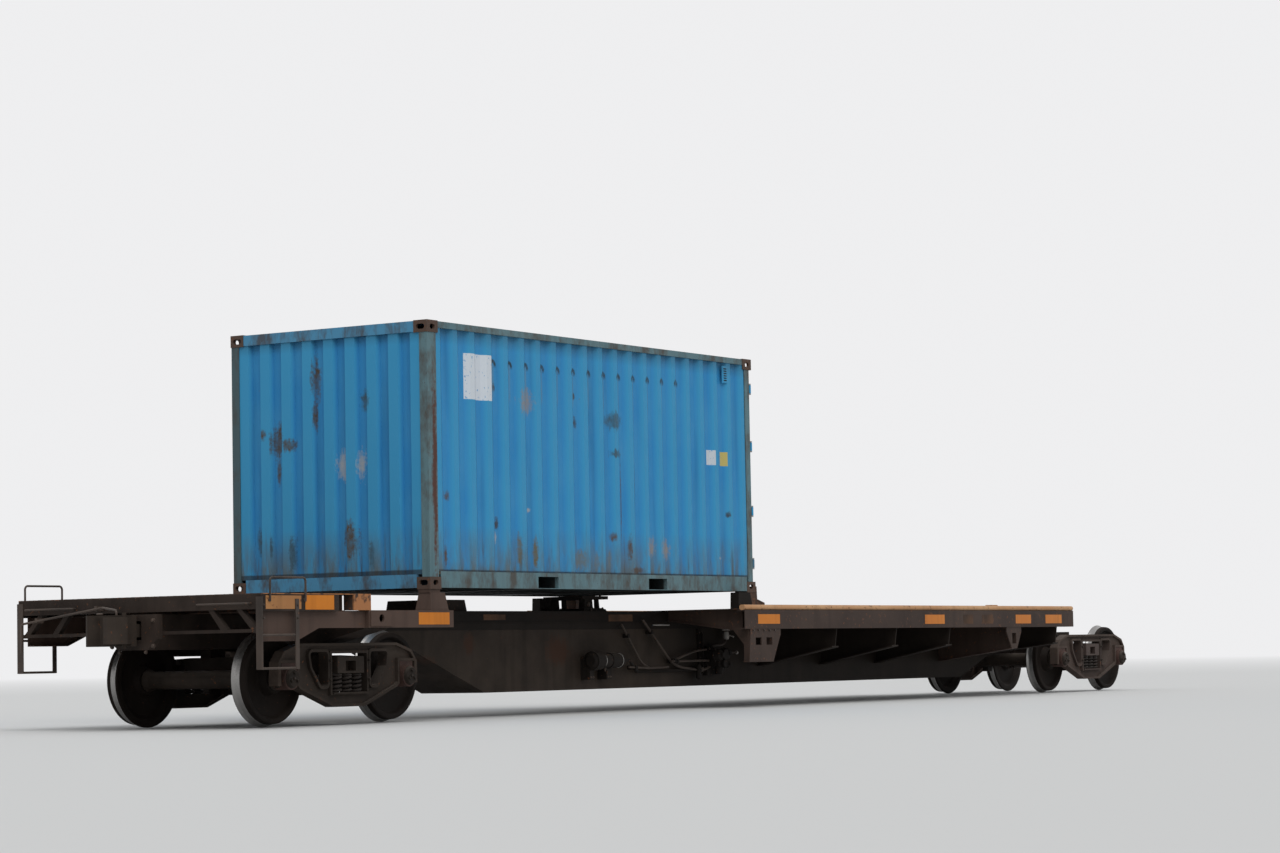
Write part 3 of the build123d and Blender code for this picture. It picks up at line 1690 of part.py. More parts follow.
# Wheel section from the bore outwards, as (radius, y)
wheel_section = [
    (seat_radius + seat_gap, wheel_back_y - 12.0),
    (hub_radius, wheel_back_y - 12.0),
    (hub_radius + 25.0, wheel_back_y + 45.0),
    (330.0, wheel_back_y + 60.0),
    (365.0, wheel_back_y + 2.0),
    (wheel_radius + 12.0, wheel_back_y),
    (wheel_radius + flange_height, wheel_back_y + 14.0),
    (wheel_radius + 3.0, wheel_back_y + 38.0),
    (wheel_radius - 4.0, wheel_front_y - 8.0),
    (wheel_radius - 12.0, wheel_front_y),
    (368.0, wheel_front_y),
    (345.0, wheel_back_y + 95.0),
    (hub_radius + 30.0, wheel_back_y + 82.0),
    (hub_radius, wheel_front_y + 25.0),
    (seat_radius + seat_gap, wheel_front_y + 25.0),
]
# Axle from the middle outwards, as (radius, y)
axle_section = [
    (0.0, 0.0),
    (axle_body_radius, 0.0),
    (axle_body_radius, 600.0),
    (seat_radius, wheel_back_y - 20.0),
    (seat_radius, wheel_front_y + 30.0),
    (journal_radius, 885.0),
    (journal_radius, 1046.0),
    (cap_radius, 1046.0),
    (cap_radius - 14.0, 1072.0),
    (0.0, 1072.0),
]

wheelset = 0
for truck_station in (0.0, truck_centres):
    for end in (-1, 1):
        wheelset += 1
        axle_x = x_at(truck_station + end * half_spacing)
        axle_line = Axis((axle_x, 0, z_at(wheel_radius)), (0, 1, 0))
        with BuildPart() as wheels:
            with BuildSketch(Plane.YZ.offset(axle_x)):
                with BuildLine():
                    Polyline([(y, z_at(wheel_radius) + radius) for radius, y in wheel_section], close=True)
                make_face()
            revolve(axis=axle_line)
            mirror(about=Plane.XZ)
        write(f"wheels_{wheelset}", wheels)
        with BuildPart() as axle:
            with BuildSketch(Plane.YZ.offset(axle_x)):
                with BuildLine():
                    Polyline([(y, z_at(wheel_radius) + radius) for radius, y in axle_section], close=True)
                make_face()
            revolve(axis=axle_line)
            mirror(about=Plane.XZ)
        write(f"axle_{wheelset}", axle)
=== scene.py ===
"""Looks of the spine car unit and its freight container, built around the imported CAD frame.

Places are metres in the row frame: +X runs along the car to its articulated end, +Y across it
and +Z up from the floor at the wheel flanges' lowest level. The camera looks at the -Y side.
"""
import json
import math

import bmesh
import bpy
from mathutils import Matrix, Vector


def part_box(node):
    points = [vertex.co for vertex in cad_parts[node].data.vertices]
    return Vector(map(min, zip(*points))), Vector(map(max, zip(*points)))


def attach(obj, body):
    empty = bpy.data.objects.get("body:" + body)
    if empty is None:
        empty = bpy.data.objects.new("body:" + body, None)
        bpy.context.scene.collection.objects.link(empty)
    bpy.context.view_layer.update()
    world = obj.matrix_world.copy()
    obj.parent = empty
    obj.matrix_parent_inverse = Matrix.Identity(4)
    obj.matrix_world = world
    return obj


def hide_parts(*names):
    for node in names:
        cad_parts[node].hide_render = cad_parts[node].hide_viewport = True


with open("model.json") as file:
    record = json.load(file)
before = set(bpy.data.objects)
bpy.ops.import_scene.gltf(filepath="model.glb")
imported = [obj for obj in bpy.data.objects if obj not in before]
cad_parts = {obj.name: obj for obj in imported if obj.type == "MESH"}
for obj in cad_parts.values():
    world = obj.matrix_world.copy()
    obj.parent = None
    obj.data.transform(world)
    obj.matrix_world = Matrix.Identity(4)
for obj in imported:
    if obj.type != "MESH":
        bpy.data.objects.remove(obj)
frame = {"nodes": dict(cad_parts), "record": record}

nodes = frame["nodes"]
scene = bpy.context.scene
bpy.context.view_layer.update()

# Camera, worked out from the container's eight corners in the photograph
CAMERA_PLACE = (-32.16343, -20.09137, 0.59503)
CAMERA_YAW = math.radians(57.22575)
CAMERA_PITCH = math.radians(3.94704)
CAMERA_ROLL = math.radians(-1.07933)
CAMERA_LENS = 93.236
SENSOR_WIDTH = 36.0


def add_camera():
    """Camera at the photograph's place, turned by yaw, pitch and roll."""
    data = bpy.data.cameras.new("camera")
    data.sensor_width = SENSOR_WIDTH
    data.lens = CAMERA_LENS
    data.clip_end = 500.0
    camera = bpy.data.objects.new("camera", data)
    camera.matrix_world = (
        Matrix.Translation(CAMERA_PLACE)
        @ Matrix.Rotation(-CAMERA_YAW, 4, "Z")
        @ Matrix.Rotation(math.pi / 2 + CAMERA_PITCH, 4, "X")
        @ Matrix.Rotation(CAMERA_ROLL, 4, "Z")
    )
    scene.collection.objects.link(camera)
    scene.camera = camera


# Shader helpers


class Tree:
    """Node tree, with short calls for its nodes and links."""

    def __init__(self, tree):
        self.tree = tree

    def node(self, kind, inputs=None, **settings):
        """New node of a shader kind, with a link or a value in each named input."""
        made = self.tree.nodes.new("ShaderNode" + kind)
        for key, value in settings.items():
            setattr(made, key, value)
        for key, value in (inputs or {}).items():
            self.put(made.inputs[key], value)
        return made

    def put(self, socket, value):
        """Link a socket or write a plain value."""
        if isinstance(value, bpy.types.NodeSocket):
            self.tree.links.new(value, socket)
        elif hasattr(value, "__len__") and len(socket.default_value) == 4 and len(value) == 3:
            socket.default_value = (*value, 1.0)
        else:
            socket.default_value = value

    def math(self, operation, first, second=0.0):
        return self.node("Math", {0: first, 1: second}, operation=operation).outputs[0]

    def seen_directly(self):
        """1 where the camera sees a surface itself, in a mirror or through glass."""
        rays = self.node("LightPath").outputs
        mirrored = self.math("MAXIMUM", rays["Is Camera Ray"], rays["Is Glossy Ray"])
        return self.math("MAXIMUM", mirrored, rays["Is Transmission Ray"])


class Shader(Tree):
    """Node tree of one material, with short calls for what the finishes use."""

    def __init__(self, name, roughness=0.6, metallic=0.0, gloss=0.2):
        self.material = bpy.data.materials.new(name)
        self.material.use_nodes = True
        super().__init__(self.material.node_tree)
        self.principled = self.tree.nodes["Principled BSDF"]
        self.surface("Roughness", roughness)
        self.surface("Metallic", metallic)
        self.surface("Specular IOR Level", gloss)
        self.place = self.node("TexCoord").outputs["Object"]
        self.grains = {}

    def lay(self, tint, cover, share=None):
        """Lay a tint over the colour so far where its cover says, up to a share."""
        if share is not None:
            cover = self.times(cover, share)
        self.tone = self.mix(cover, self.tone, tint)

    def done(self):
        """Material in the colour laid so far."""
        self.surface("Base Color", self.tone)
        return self.material

    def surface(self, key, value):
        self.put(self.principled.inputs[key], value)

    def times(self, first, second):
        return self.math("MULTIPLY", first, second)

    def noise(self, scale, detail=3.0, stretch=(1, 1, 1), roughness=0.5):
        """Noise over the place, which is first scaled by a factor along each axis."""
        place = self.node("Mapping", {"Vector": self.place, "Scale": stretch}).outputs[0]
        inputs = {"Vector": place, "Scale": scale, "Detail": detail, "Roughness": roughness}
        return self.node("TexNoise", inputs).outputs["Fac"]

    def grain(self, scale):
        """Shared noise of one scale."""
        if scale not in self.grains:
            self.grains[scale] = self.noise(scale, 4.0, roughness=0.6)
        return self.grains[scale]

    def span(self, value, low, high, to_low=0.0, to_high=1.0):
        """Value mapped from one range to another, and held at its ends."""
        inputs = {"Value": value, "From Min": low, "From Max": high, "To Min": to_low, "To Max": to_high}
        return self.node("MapRange", inputs).outputs[0]

    def mix(self, share, first, second):
        inputs = {"Factor": share, 6: first, 7: second}
        return self.node("Mix", inputs, data_type="RGBA").outputs[2]

    def axis(self, name):
        """One coordinate of the place."""
        if not hasattr(self, "split"):
            self.split = self.node("SeparateXYZ", {0: self.place}).outputs
        return self.split[name]

    def past(self, name, place):
        """Distance past a place along one axis, negative before it."""
        return self.math("SUBTRACT", self.axis(name), place)

    def facing_up(self):
        """1 on faces that look up, 0 on walls and undersides."""
        normal = self.node("NewGeometry").outputs["Normal"]
        return self.span(self.node("SeparateXYZ", {0: normal}).outputs["Z"], 0.3, 0.95)

    def between(self, low, high, soft=0.006):
        """1 inside a box between two corners; None leaves an axis free."""
        whole = 1.0
        for name, first, last in zip("XYZ", low, high):
            if first is not None:
                whole = self.times(self.inside(name, first, last, soft), whole)
        return whole

    def inside(self, name, low, high, soft=0.004):
        """1 between two places along one axis, fading over `soft` past either."""
        distance = self.math("ABSOLUTE", self.past(name, (low + high) / 2))
        return self.span(distance, (high - low) / 2 + soft, (high - low) / 2)

    def worn_place(self, centre, half):
        """Cover of one worn place, full in an ellipsoid's middle and ragged with drips at its edge."""
        inputs = {
            "Vector": self.place,
            "Location": [-c / h for c, h in zip(centre, half)],
            "Scale": [1 / h for h in half],
        }
        inside = self.node("Mapping", inputs).outputs[0]
        length = self.node("VectorMath", {0: inside}, operation="LENGTH").outputs["Value"]
        if not hasattr(self, "ragged"):
            drips = self.noise(26.0, 3.0, stretch=(1.0, 1.0, 0.12), roughness=0.6)
            self.ragged = self.math("ADD", self.grain(30.0), drips)
        return self.span(self.math("SUBTRACT", self.times(self.ragged, 1.5), length), 0.30, 0.95)

    def union(self, masks):
        whole = masks[0]
        for mask in masks[1:]:
            whole = self.math("MAXIMUM", whole, mask)
        return whole

    def bump(self, height, strength, distance):
        inputs = {"Strength": strength, "Distance": distance, "Height": height}
        self.surface("Normal", self.node("Bump", inputs).outputs[0])


# Finishes

RUST = (0.115, 0.048, 0.024)
DUST = (0.11, 0.092, 0.078)
GRIME = (0.006, 0.005, 0.0045)


def worn_paint(coat, base, fade, streaks=0.35, rust_share=0.12, dust=0.35, grime=0.0, rust=RUST):
    """Paint that fades in patches, runs in streaks, rusts in spots and holds dust on top."""
    blotches = coat.span(coat.noise(1.7, 4.0), 0.35, 0.7)
    coat.tone = base
    coat.lay(fade, blotches)
    runs = coat.span(coat.noise(9.0, 3.0, stretch=(1.0, 1.0, 0.06)), 0.52, 0.72, 0.0, streaks)
    coat.lay(tuple(0.45 * c for c in base), runs)
    if grime:
        low = coat.span(coat.noise(3.0, 5.0), 0.4, 0.65, 0.0, grime)
        coat.lay(GRIME, low)
    spots = coat.noise(23.0, 5.0, roughness=0.65)
    rusty = coat.span(spots, 0.76 - rust_share, 0.80 - rust_share)
    coat.lay(rust, rusty)
    if dust:
        settled = coat.span(coat.grain(6.0), 0.2, 0.7, 0.3, 1.0)
        top = coat.times(coat.facing_up(), settled)
        coat.lay(DUST, top, dust)
    coat.bump(coat.math("ADD", spots, rusty), 0.25, 0.004)


def plain_paint(name, base, fade, roughness=0.65, gloss=0.2, **wear):
    """Material of worn paint with no place of its own."""
    coat = Shader(name, roughness, gloss=gloss)
    worn_paint(coat, base, fade, **wear)
    return coat.done()


def side_frame_paint(name, base, fade, middle):
    """Cast steel of a truck's side frames, dusty at the jaws that hold the bearings, and paler along the
    top from dust and painted highlight.
    """
    coat = Shader(name, 0.7, gloss=0.1)
    worn_paint(coat, base, fade, grime=0.4, dust=0.9)
    reach = coat.math("ABSOLUTE", coat.past("X", middle))
    dusty = coat.times(coat.span(reach, 0.50, 0.95), coat.span(coat.grain(6.0), 0.25, 0.65))
    coat.lay((0.080, 0.058, 0.046), dusty, 0.75)
    # Upper part painted paler: partly dust on the top flange, partly painted highlight along the upper
    # edges
    rim = coat.span(coat.axis("Z"), 0.60, 0.72, 0.0, 0.45)
    coat.lay((0.070, 0.054, 0.044), rim)
    return coat.done()


def bare_metal(name, base, roughness):
    """Metal rubbed bright, with faint scratches in its gloss."""
    coat = Shader(name, roughness, metallic=0.85)
    scratches = coat.noise(60.0, 4.0, stretch=(1.0, 6.0, 1.0))
    coat.surface("Base Color", coat.mix(scratches, tuple(0.75 * c for c in base), base))
    coat.surface("Roughness", coat.span(scratches, 0.3, 0.7, roughness - 0.06, roughness + 0.12))
    return coat.material


# Container's outer box
box_low, box_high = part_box("container_castings")
box_front = box_low.x
box_side = box_low.y
box_bottom = box_low.z
box_top = box_high.z

BLUE = (0.026, 0.215, 0.470)
BLUE_FADED = (0.040, 0.245, 0.480)
YELLOW_RUST = (0.115, 0.095, 0.050)
RED_RUST = (0.080, 0.052, 0.036)
OLIVE_RUST = (0.072, 0.050, 0.030)
DARK_RUST = (0.040, 0.032, 0.028)
SCUFF = (0.11, 0.145, 0.165)
PALE_SCUFF = (0.30, 0.33, 0.36)
PINK_SCUFF = (0.22, 0.21, 0.21)
SOOT = (0.040, 0.085, 0.120)

# Worn places on the near side wall: distance from the front, height from the bottom, half sizes
SIDE_WEAR = (
    (YELLOW_RUST, ((1.54, 0.40, 0.030, 0.148), (1.82, 0.38, 0.031, 0.150))),
    (SCUFF, ((2.62, 0.31, 0.097, 0.106), (2.94, 0.31, 0.034, 0.088), (3.19, 0.32, 0.034, 0.109))),
    (RED_RUST, (
        (3.55, 0.45, 0.034, 0.136), (3.25, 0.56, 0.056, 0.046), (3.70, 0.22, 0.115, 0.035),
        (3.43, 0.94, 0.007, 0.408), (3.69, 1.08, 0.011, 0.252), (0.34, 0.90, 0.047, 0.056),
        (0.32, 0.30, 0.030, 0.124),
    )),
    (PINK_SCUFF, ((3.98, 0.46, 0.094, 0.109), (4.26, 0.44, 0.096, 0.105), (1.70, 1.89, 0.119, 0.139))),
    (PALE_SCUFF, ((5.37, 0.37, 0.041, 0.021), (1.73, 0.80, 0.034, 0.019), (1.15, 0.52, 0.024, 0.053))),
    (DARK_RUST, (
        (2.57, 1.99, 0.035, 0.029), (2.58, 1.72, 0.035, 0.070), (1.15, 2.00, 0.033, 0.047),
        (5.54, 0.85, 0.041, 0.032), (1.17, 0.65, 0.032, 0.068),
    )),
    (SOOT, ((3.31, 1.77, 0.168, 0.091), (3.33, 1.43, 0.104, 0.042))),
)

# Worn places on the front wall: distance from the near side, height from the bottom, half sizes
END_WEAR = (
    (OLIVE_RUST, (
        (1.39, 2.09, 0.046, 0.201), (1.40, 1.74, 0.023, 0.149), (1.88, 1.50, 0.074, 0.177),
        (1.88, 1.20, 0.029, 0.125), (2.05, 1.58, 0.044, 0.052), (1.72, 1.46, 0.087, 0.063),
        (0.98, 0.49, 0.089, 0.188),
    )),
    (PALE_SCUFF, ((1.08, 1.23, 0.060, 0.140), (0.84, 1.24, 0.046, 0.139))),
    (SOOT, (
        (0.79, 1.85, 0.059, 0.111), (1.70, 0.39, 0.041, 0.183), (0.71, 0.35, 0.041, 0.146),
        (2.12, 0.52, 0.043, 0.126), (1.96, 0.46, 0.017, 0.124),
    )),
)

# Blank labels on the near side: colour, front and rear x, foot and top z
LABELS = (
    ((0.62, 0.65, 0.68), -5.947, -5.504, 3.127, 3.573),
    ((0.55, 0.58, 0.60), -1.452, -1.313, 2.653, 2.811),
    ((0.50, 0.40, 0.10), -1.171, -1.061, 2.651, 2.801),
)


def add_side_marks(coat, near):
    """Row of dents high on the near side, one to a ridge, each ringed with painted shade, with a pale run
    below it.
    """
    first_x, pitch, last, row_z, hollow_radius = -5.459, 0.2814, 12, 3.485, 0.044
    across = coat.math("PINGPONG", coat.past("X", first_x), pitch / 2)
    on_row = coat.times(coat.inside("X", first_x - 0.1, first_x + last * pitch + 0.1), near)
    run = coat.times(coat.span(across, 0.034, 0.006), coat.inside("Z", row_z - 0.30, row_z, 0.06))
    run = coat.times(run, coat.span(coat.grain(6.0), 0.3, 0.7, 0.3, 0.85))
    coat.lay((0.12, 0.22, 0.30), coat.times(run, on_row))
    # Painted shade: a dark ring round each dent stands in for the shade in its hollow
    rise = coat.past("Z", row_z)
    squares = coat.math("ADD", coat.times(across, across), coat.times(rise, rise))
    off_rim = coat.math("SUBTRACT", coat.math("SQRT", squares), hollow_radius)
    rim = coat.span(coat.math("ABSOLUTE", off_rim), 0.026, 0.012)
    rim = coat.times(rim, coat.span(rise, -0.030, 0.010))
    rim = coat.times(rim, coat.span(coat.grain(30.0), 0.25, 0.6, 0.5, 1.0))
    coat.lay((0.020, 0.038, 0.050), coat.times(rim, on_row))


def wall_place(on_side, along, up, half_along, half_up):
    """Centre and half sizes of a worn place on the near side wall, or else on the front wall."""
    height = box_bottom + up
    if on_side:
        return (box_front + along, box_side + 0.03, height), (half_along, 0.3, half_up)
    return (box_front + 0.04, box_side + along, height), (0.3, half_along, half_up)


def container_paint():
    """Blue of the container's sheets, with its rust patches, scuffs and marks, and painted light and
    shade on its folds, rails and dents.
    """
    coat = Shader("container_blue", 0.5)
    wear = dict(streaks=0.3, rust_share=0.045, dust=0.3, rust=(0.13, 0.07, 0.04))
    worn_paint(coat, BLUE, BLUE_FADED, **wear)
    # Outer flats of the folded sheets are painted lighter than the hollows: partly fading, partly painted
    # light on the flats and painted shade in the hollows
    side_flat = coat.span(coat.math("ABSOLUTE", coat.axis("Y")), 1.176, 1.200)
    end_flat = coat.span(coat.axis("X"), box_front + 0.050, box_front + 0.026)
    flats = coat.math("MAXIMUM", side_flat, end_flat)
    coat.lay((0.040, 0.275, 0.480), flats, 0.75)
    # Dirt that splashes up from the bottom rail, and rust that runs down into it
    spots = coat.noise(8.0, 5.0, stretch=(1.0, 1.0, 0.22), roughness=0.65)
    height = coat.past("Z", box_bottom)
    low = coat.span(height, 0.62, 0.15)
    splash = coat.times(low, coat.span(spots, 0.40, 0.60, 0.15, 1.0))
    coat.lay((0.095, 0.115, 0.120), splash)
    drips = coat.noise(16.0, 4.0, stretch=(1.0, 1.0, 0.10), roughness=0.6)
    low = coat.span(height, 0.72, 0.22)
    runs = coat.times(low, coat.span(drips, 0.57, 0.72, 0.0, 0.75))
    coat.lay((0.066, 0.055, 0.042), runs)
    # Painted shade under the top rail, and over the bottom rail a dark strip of painted shadow and dirt
    # along the sealed seam
    under_rail = coat.span(coat.past("Z", box_top), -0.22, -0.1, 0.0, 0.5)
    coat.lay((0.03, 0.09, 0.13), under_rail)
    seam_shadow_and_dirt = coat.span(height, 0.196, 0.184, 0.0, 0.8)
    coat.lay((0.022, 0.026, 0.028), seam_shadow_and_dirt)
    patchy = coat.span(coat.grain(14.0), 0.32, 0.62, 0.60, 1.0)
    for on_side, wear in ((True, SIDE_WEAR), (False, END_WEAR)):
        for tint, places in wear:
            cover = coat.union([coat.worn_place(*wall_place(on_side, *place)) for place in places])
            coat.lay(tint, coat.times(cover, patchy))
    near = coat.inside("Y", box_side, box_side + 0.06)
    add_side_marks(coat, near)
    worn = coat.span(coat.grain(30.0), 0.62, 0.68, 0.92, 0.25)
    for tint, front, rear, foot, top in LABELS:
        label = coat.times(coat.inside("X", front, rear), coat.inside("Z", foot, top))
        coat.lay(tint, coat.times(coat.times(label, near), worn))
    coat.surface("Roughness", coat.span(coat.grain(6.0), 0.3, 0.7, 0.42, 0.62))
    return coat.done()


def frame_paint():
    """Grey-green of the container's posts and rails, with broad rust stains."""
    coat = Shader("container_frame", 0.6)
    base, fade, rust = (0.098, 0.178, 0.202), (0.118, 0.190, 0.208), (0.06, 0.034, 0.024)
    worn_paint(coat, base, fade, rust_share=0.09, rust=rust)
    # The front end's rails are bluer than the posts, and the far front post is darker
    front = box_front + 0.30
    rails = coat.between((box_front - 0.1, -1.06, None), (front, 1.06, None))
    coat.lay((0.062, 0.245, 0.420), rails, 0.85)
    far_post = coat.between((box_front - 0.1, 1.06, None), (front, 1.30, None))
    coat.lay((0.030, 0.038, 0.042), far_post, 0.6)
    stains = coat.noise(3.2, 5.0, stretch=(1.0, 1.0, 0.45), roughness=0.7)
    coat.lay((0.062, 0.043, 0.031), coat.span(stains, 0.46, 0.62, 0.0, 0.8))
    # The near front post's inner edge has run red-brown
    middle = (box_front + 0.108, box_side + 0.012, box_bottom + 1.05)
    coat.lay((0.080, 0.036, 0.027), coat.worn_place(middle, (0.042, 0.3, 1.0)))
    # Between the bottom rails everything is painted dark: painted shade, as the ground under the
    # container lies in shade
    low = (box_front + 0.10, box_side + 0.052, box_bottom - 0.1)
    high = (box_high.x - 0.10, box_high.y - 0.004, box_bottom + 0.172)
    coat.lay((0.014, 0.012, 0.011), coat.between(low, high), 0.88)
    return coat.done()


def deck_paint():
    """Brown end deck with an orange band along either side."""
    coat = Shader("end_deck_paint", 0.75)
    worn_paint(coat, (0.040, 0.027, 0.021), (0.062, 0.041, 0.031), rust_share=0.2, dust=0.5)
    edge = coat.span(coat.math("ABSOLUTE", coat.axis("Y")), 1.432, 1.438)
    worn = coat.span(coat.noise(12.0, 5.0), 0.36, 0.46)
    coat.lay((0.35, 0.15, 0.06), coat.times(edge, worn))
    return coat.done()


def tread_plate_paint():
    """Steel platform plate with raised lozenges."""
    coat = Shader("tread_plate", 0.7)
    worn_paint(coat, (0.045, 0.033, 0.027), (0.075, 0.052, 0.040), rust_share=0.22, dust=0.6)
    ridges = []
    for direction in ("ADD", "SUBTRACT"):
        diagonal = coat.math(direction, coat.axis("X"), coat.axis("Y"))
        ridges.append(coat.math("SINE", coat.times(diagonal, 105.0)))
    coat.bump(coat.span(coat.times(*ridges), 0.35, 0.6), 0.5, 0.003)
    return coat.done()


def spine_paint():
    """Dark brown of the spine, with rusty patches and a rusty edge along its top band, and painted shade
    along the top band and under the platform.
    """
    coat = Shader("spine_brown", 0.6, gloss=0.08)
    brown, faded, rust = (0.037, 0.028, 0.0215), (0.050, 0.037, 0.029), (0.075, 0.036, 0.022)
    worn_paint(coat, brown, faded, rust_share=0.08, grime=0.35, rust=rust)
    places = (
        ((-4.85, -0.412, 0.74), (0.10, 0.4, 0.11)),
        ((-3.26, -0.412, 0.66), (0.21, 0.4, 0.15)),
        ((-3.03, -0.400, 1.02), (0.57, 0.4, 0.04)),
        ((-5.60, -0.412, 0.55), (0.16, 0.4, 0.08)),
        ((2.40, 0.412, 0.70), (0.24, 0.4, 0.13)),
        ((-1.90, 0.412, 0.60), (0.18, 0.4, 0.10)),
    )
    rusty = coat.union([coat.worn_place(centre, half) for centre, half in places])
    coat.lay((0.050, 0.026, 0.017), rusty)
    # Painted shade: the top band is painted dark as it lies in the container's shadow, and the lap strip
    # below it is darker still, as shade under the top band's ledge
    height = coat.axis("Z")
    painted_shade = (0.0065, 0.0052, 0.0046)
    coat.lay(painted_shade, coat.span(height, 0.945, 0.965, 0.0, 0.80))
    coat.lay(painted_shade, coat.inside("Z", 0.884, 0.953), 0.7)
    # Under the platform the spine is painted darker: painted shadow of the platform
    coat.lay(painted_shade, coat.span(coat.axis("X"), -1.3, -0.6, 0.0, 0.60))
    return coat.done()


def middle_of(node):
    """Middle of a node's box."""
    low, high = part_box(node)
    return (low + high) / 2


# Base and faded colour of each plain finish, and where its wear isn't plain_paint's own
PLAIN_PAINTS = {
    "car_brown": ((0.030, 0.022, 0.018), (0.042, 0.030, 0.024), dict(grime=0.5, gloss=0.1)),
    "sill_brown": ((0.036, 0.023, 0.018), (0.054, 0.035, 0.027), dict(rust_share=0.14)),
    "sill_dusty": ((0.060, 0.037, 0.028), (0.080, 0.050, 0.038), dict(rust_share=0.10)),
    "rusted": ((0.042, 0.024, 0.017), (0.085, 0.043, 0.026), dict(rust_share=0.22)),
    "faded_orange": ((0.34, 0.15, 0.052), (0.40, 0.19, 0.075), dict(rust_share=0.16)),
    "rust_orange": ((0.44, 0.23, 0.11), (0.52, 0.31, 0.16), dict(rust_share=0.16, dust=0.2)),
    "fitting_dark": ((0.012, 0.010, 0.009), (0.020, 0.016, 0.0135), dict(gloss=0.1)),
    "rod_steel": ((0.040, 0.031, 0.026), (0.080, 0.058, 0.046), dict(roughness=0.5)),
    "cast_steel": ((0.029, 0.0225, 0.018), (0.044, 0.033, 0.026), dict(grime=0.4, dust=0.9, gloss=0.1)),
    "cast_brown": ((0.066, 0.046, 0.040), (0.088, 0.062, 0.052), dict(grime=0.3, dust=0.5)),
    "wheel_steel": (
        (0.011, 0.0085, 0.007), (0.018, 0.013, 0.0105), dict(dust=0.1, rust_share=0.08, gloss=0.08)
    ),
    "bearing_red": ((0.060, 0.032, 0.026), (0.085, 0.045, 0.036), dict(grime=0.4)),
    "spring_steel": ((0.016, 0.0125, 0.011), (0.026, 0.019, 0.016), {}),
    "casting_rust": ((0.070, 0.046, 0.036), (0.095, 0.058, 0.042), dict(rust_share=0.18)),
    "plywood": ((0.22, 0.13, 0.07), (0.28, 0.18, 0.10), dict(rust_share=0.0)),
    "galvanised": ((0.20, 0.21, 0.22), (0.28, 0.29, 0.30), dict(roughness=0.45, rust_share=0.08)),
    "reflector": ((0.50, 0.148, 0.006), (0.57, 0.185, 0.012), dict(roughness=0.35, rust_share=0.02)),
    "reflector_faded": ((0.36, 0.170, 0.062), (0.28, 0.12, 0.045), dict(rust_share=0.14)),
    # Darker reflector finish: partly dirt, partly painted shade for sheets that lie in shadow
    "reflector_dirty": ((0.13, 0.060, 0.028), (0.065, 0.034, 0.018), dict(grime=0.6)),
    "rubber": ((0.012, 0.012, 0.012), (0.018, 0.018, 0.018), dict(roughness=0.8, rust_share=0.0)),
    "pale_steel": ((0.30, 0.28, 0.26), (0.38, 0.36, 0.34), dict(roughness=0.4, rust_share=0.1)),
}
PAINTS = {
    name: plain_paint(name, base, fade, **wear) for name, (base, fade, wear) in PLAIN_PAINTS.items()
}
PAINTS.update(
    spine_brown=spine_paint(), deck_steel=deck_paint(), tread_plate=tread_plate_paint(),
    container_blue=container_paint(), container_frame=frame_paint(),
    tread=bare_metal("tread", (0.34, 0.33, 0.32), 0.30),
)
for truck_paint, *tones, bolster in (
    ("frame_a_cast", (0.028, 0.0215, 0.0175), (0.042, 0.032, 0.025), "truck_a_bolster"),
    ("frame_b_cast", (0.058, 0.042, 0.036), (0.080, 0.058, 0.049), "truck_b_bolster"),
):
    PAINTS[truck_paint] = side_frame_paint(truck_paint, *tones, middle_of(bolster).x)

# Nodes that take another finish than their slot's own
NODE_PAINT = {
    "truck_a_side_frames": "frame_a_cast", "truck_b_side_frames": "frame_b_cast",
    "truck_b_bolster": "cast_brown", "rear_pedestals": "rusted", "platform_deck": "tread_plate",
    "side_sills": "sill_dusty", "front_pedestals": "sill_dusty",
    "platform_sills": "sill_brown", "bracket_20ft": "sill_brown", "bracket_40ft": "sill_brown",
}


def dress_cad_nodes():
    """Give every carried-over CAD node its slot's finish."""
    slot_of = {row["node"]: row["material_slot"] for row in frame["record"]["subparts"]}
    for name, thing in nodes.items():
        paint = PAINTS[NODE_PAINT.get(name, slot_of[name])]
        thing.data.materials.clear()
        thing.data.materials.append(paint)


# Mesh helpers


def rounded(corners, reach, steps=4):
    """Line through corners, each one rounded over `reach` on either side."""
    corners = [Vector(corner) for corner in corners]
    line = corners[:1]
    for before, corner, after in zip(corners, corners[1:], corners[2:]):
        cut_in = min(reach, (corner - before).length * 0.45)
        cut_out = min(reach, (after - corner).length * 0.45)
        start = corner + (before - corner).normalized() * cut_in
        end = corner + (after - corner).normalized() * cut_out
        for step in range(steps + 1):
            t = step / steps
            line.append((1 - t) ** 2 * start + 2 * t * (1 - t) * corner + t * t * end)
    return line + corners[-1:]


def rectangle(a0, a1, b0, b1):
    """Corners of a rectangle between two values of either coordinate."""
    return [(a0, b0), (a1, b0), (a1, b1), (a0, b1)]


def ring_frame(axis):
    """Two unit vectors across an axis."""
    axis = Vector(axis).normalized()
    helper = Vector((0, 0, 1)) if abs(axis.z) < 0.9 else Vector((1, 0, 0))
    first = axis.cross(helper).normalized()
    return first, axis.cross(first)


def circle(centre, radius, first, second, sides):
    """Points of a circle in the plane of two unit vectors."""
    angles = [2 * math.pi * k / sides for k in range(sides)]
    return [centre + radius * (math.cos(a) * first + math.sin(a) * second) for a in angles]


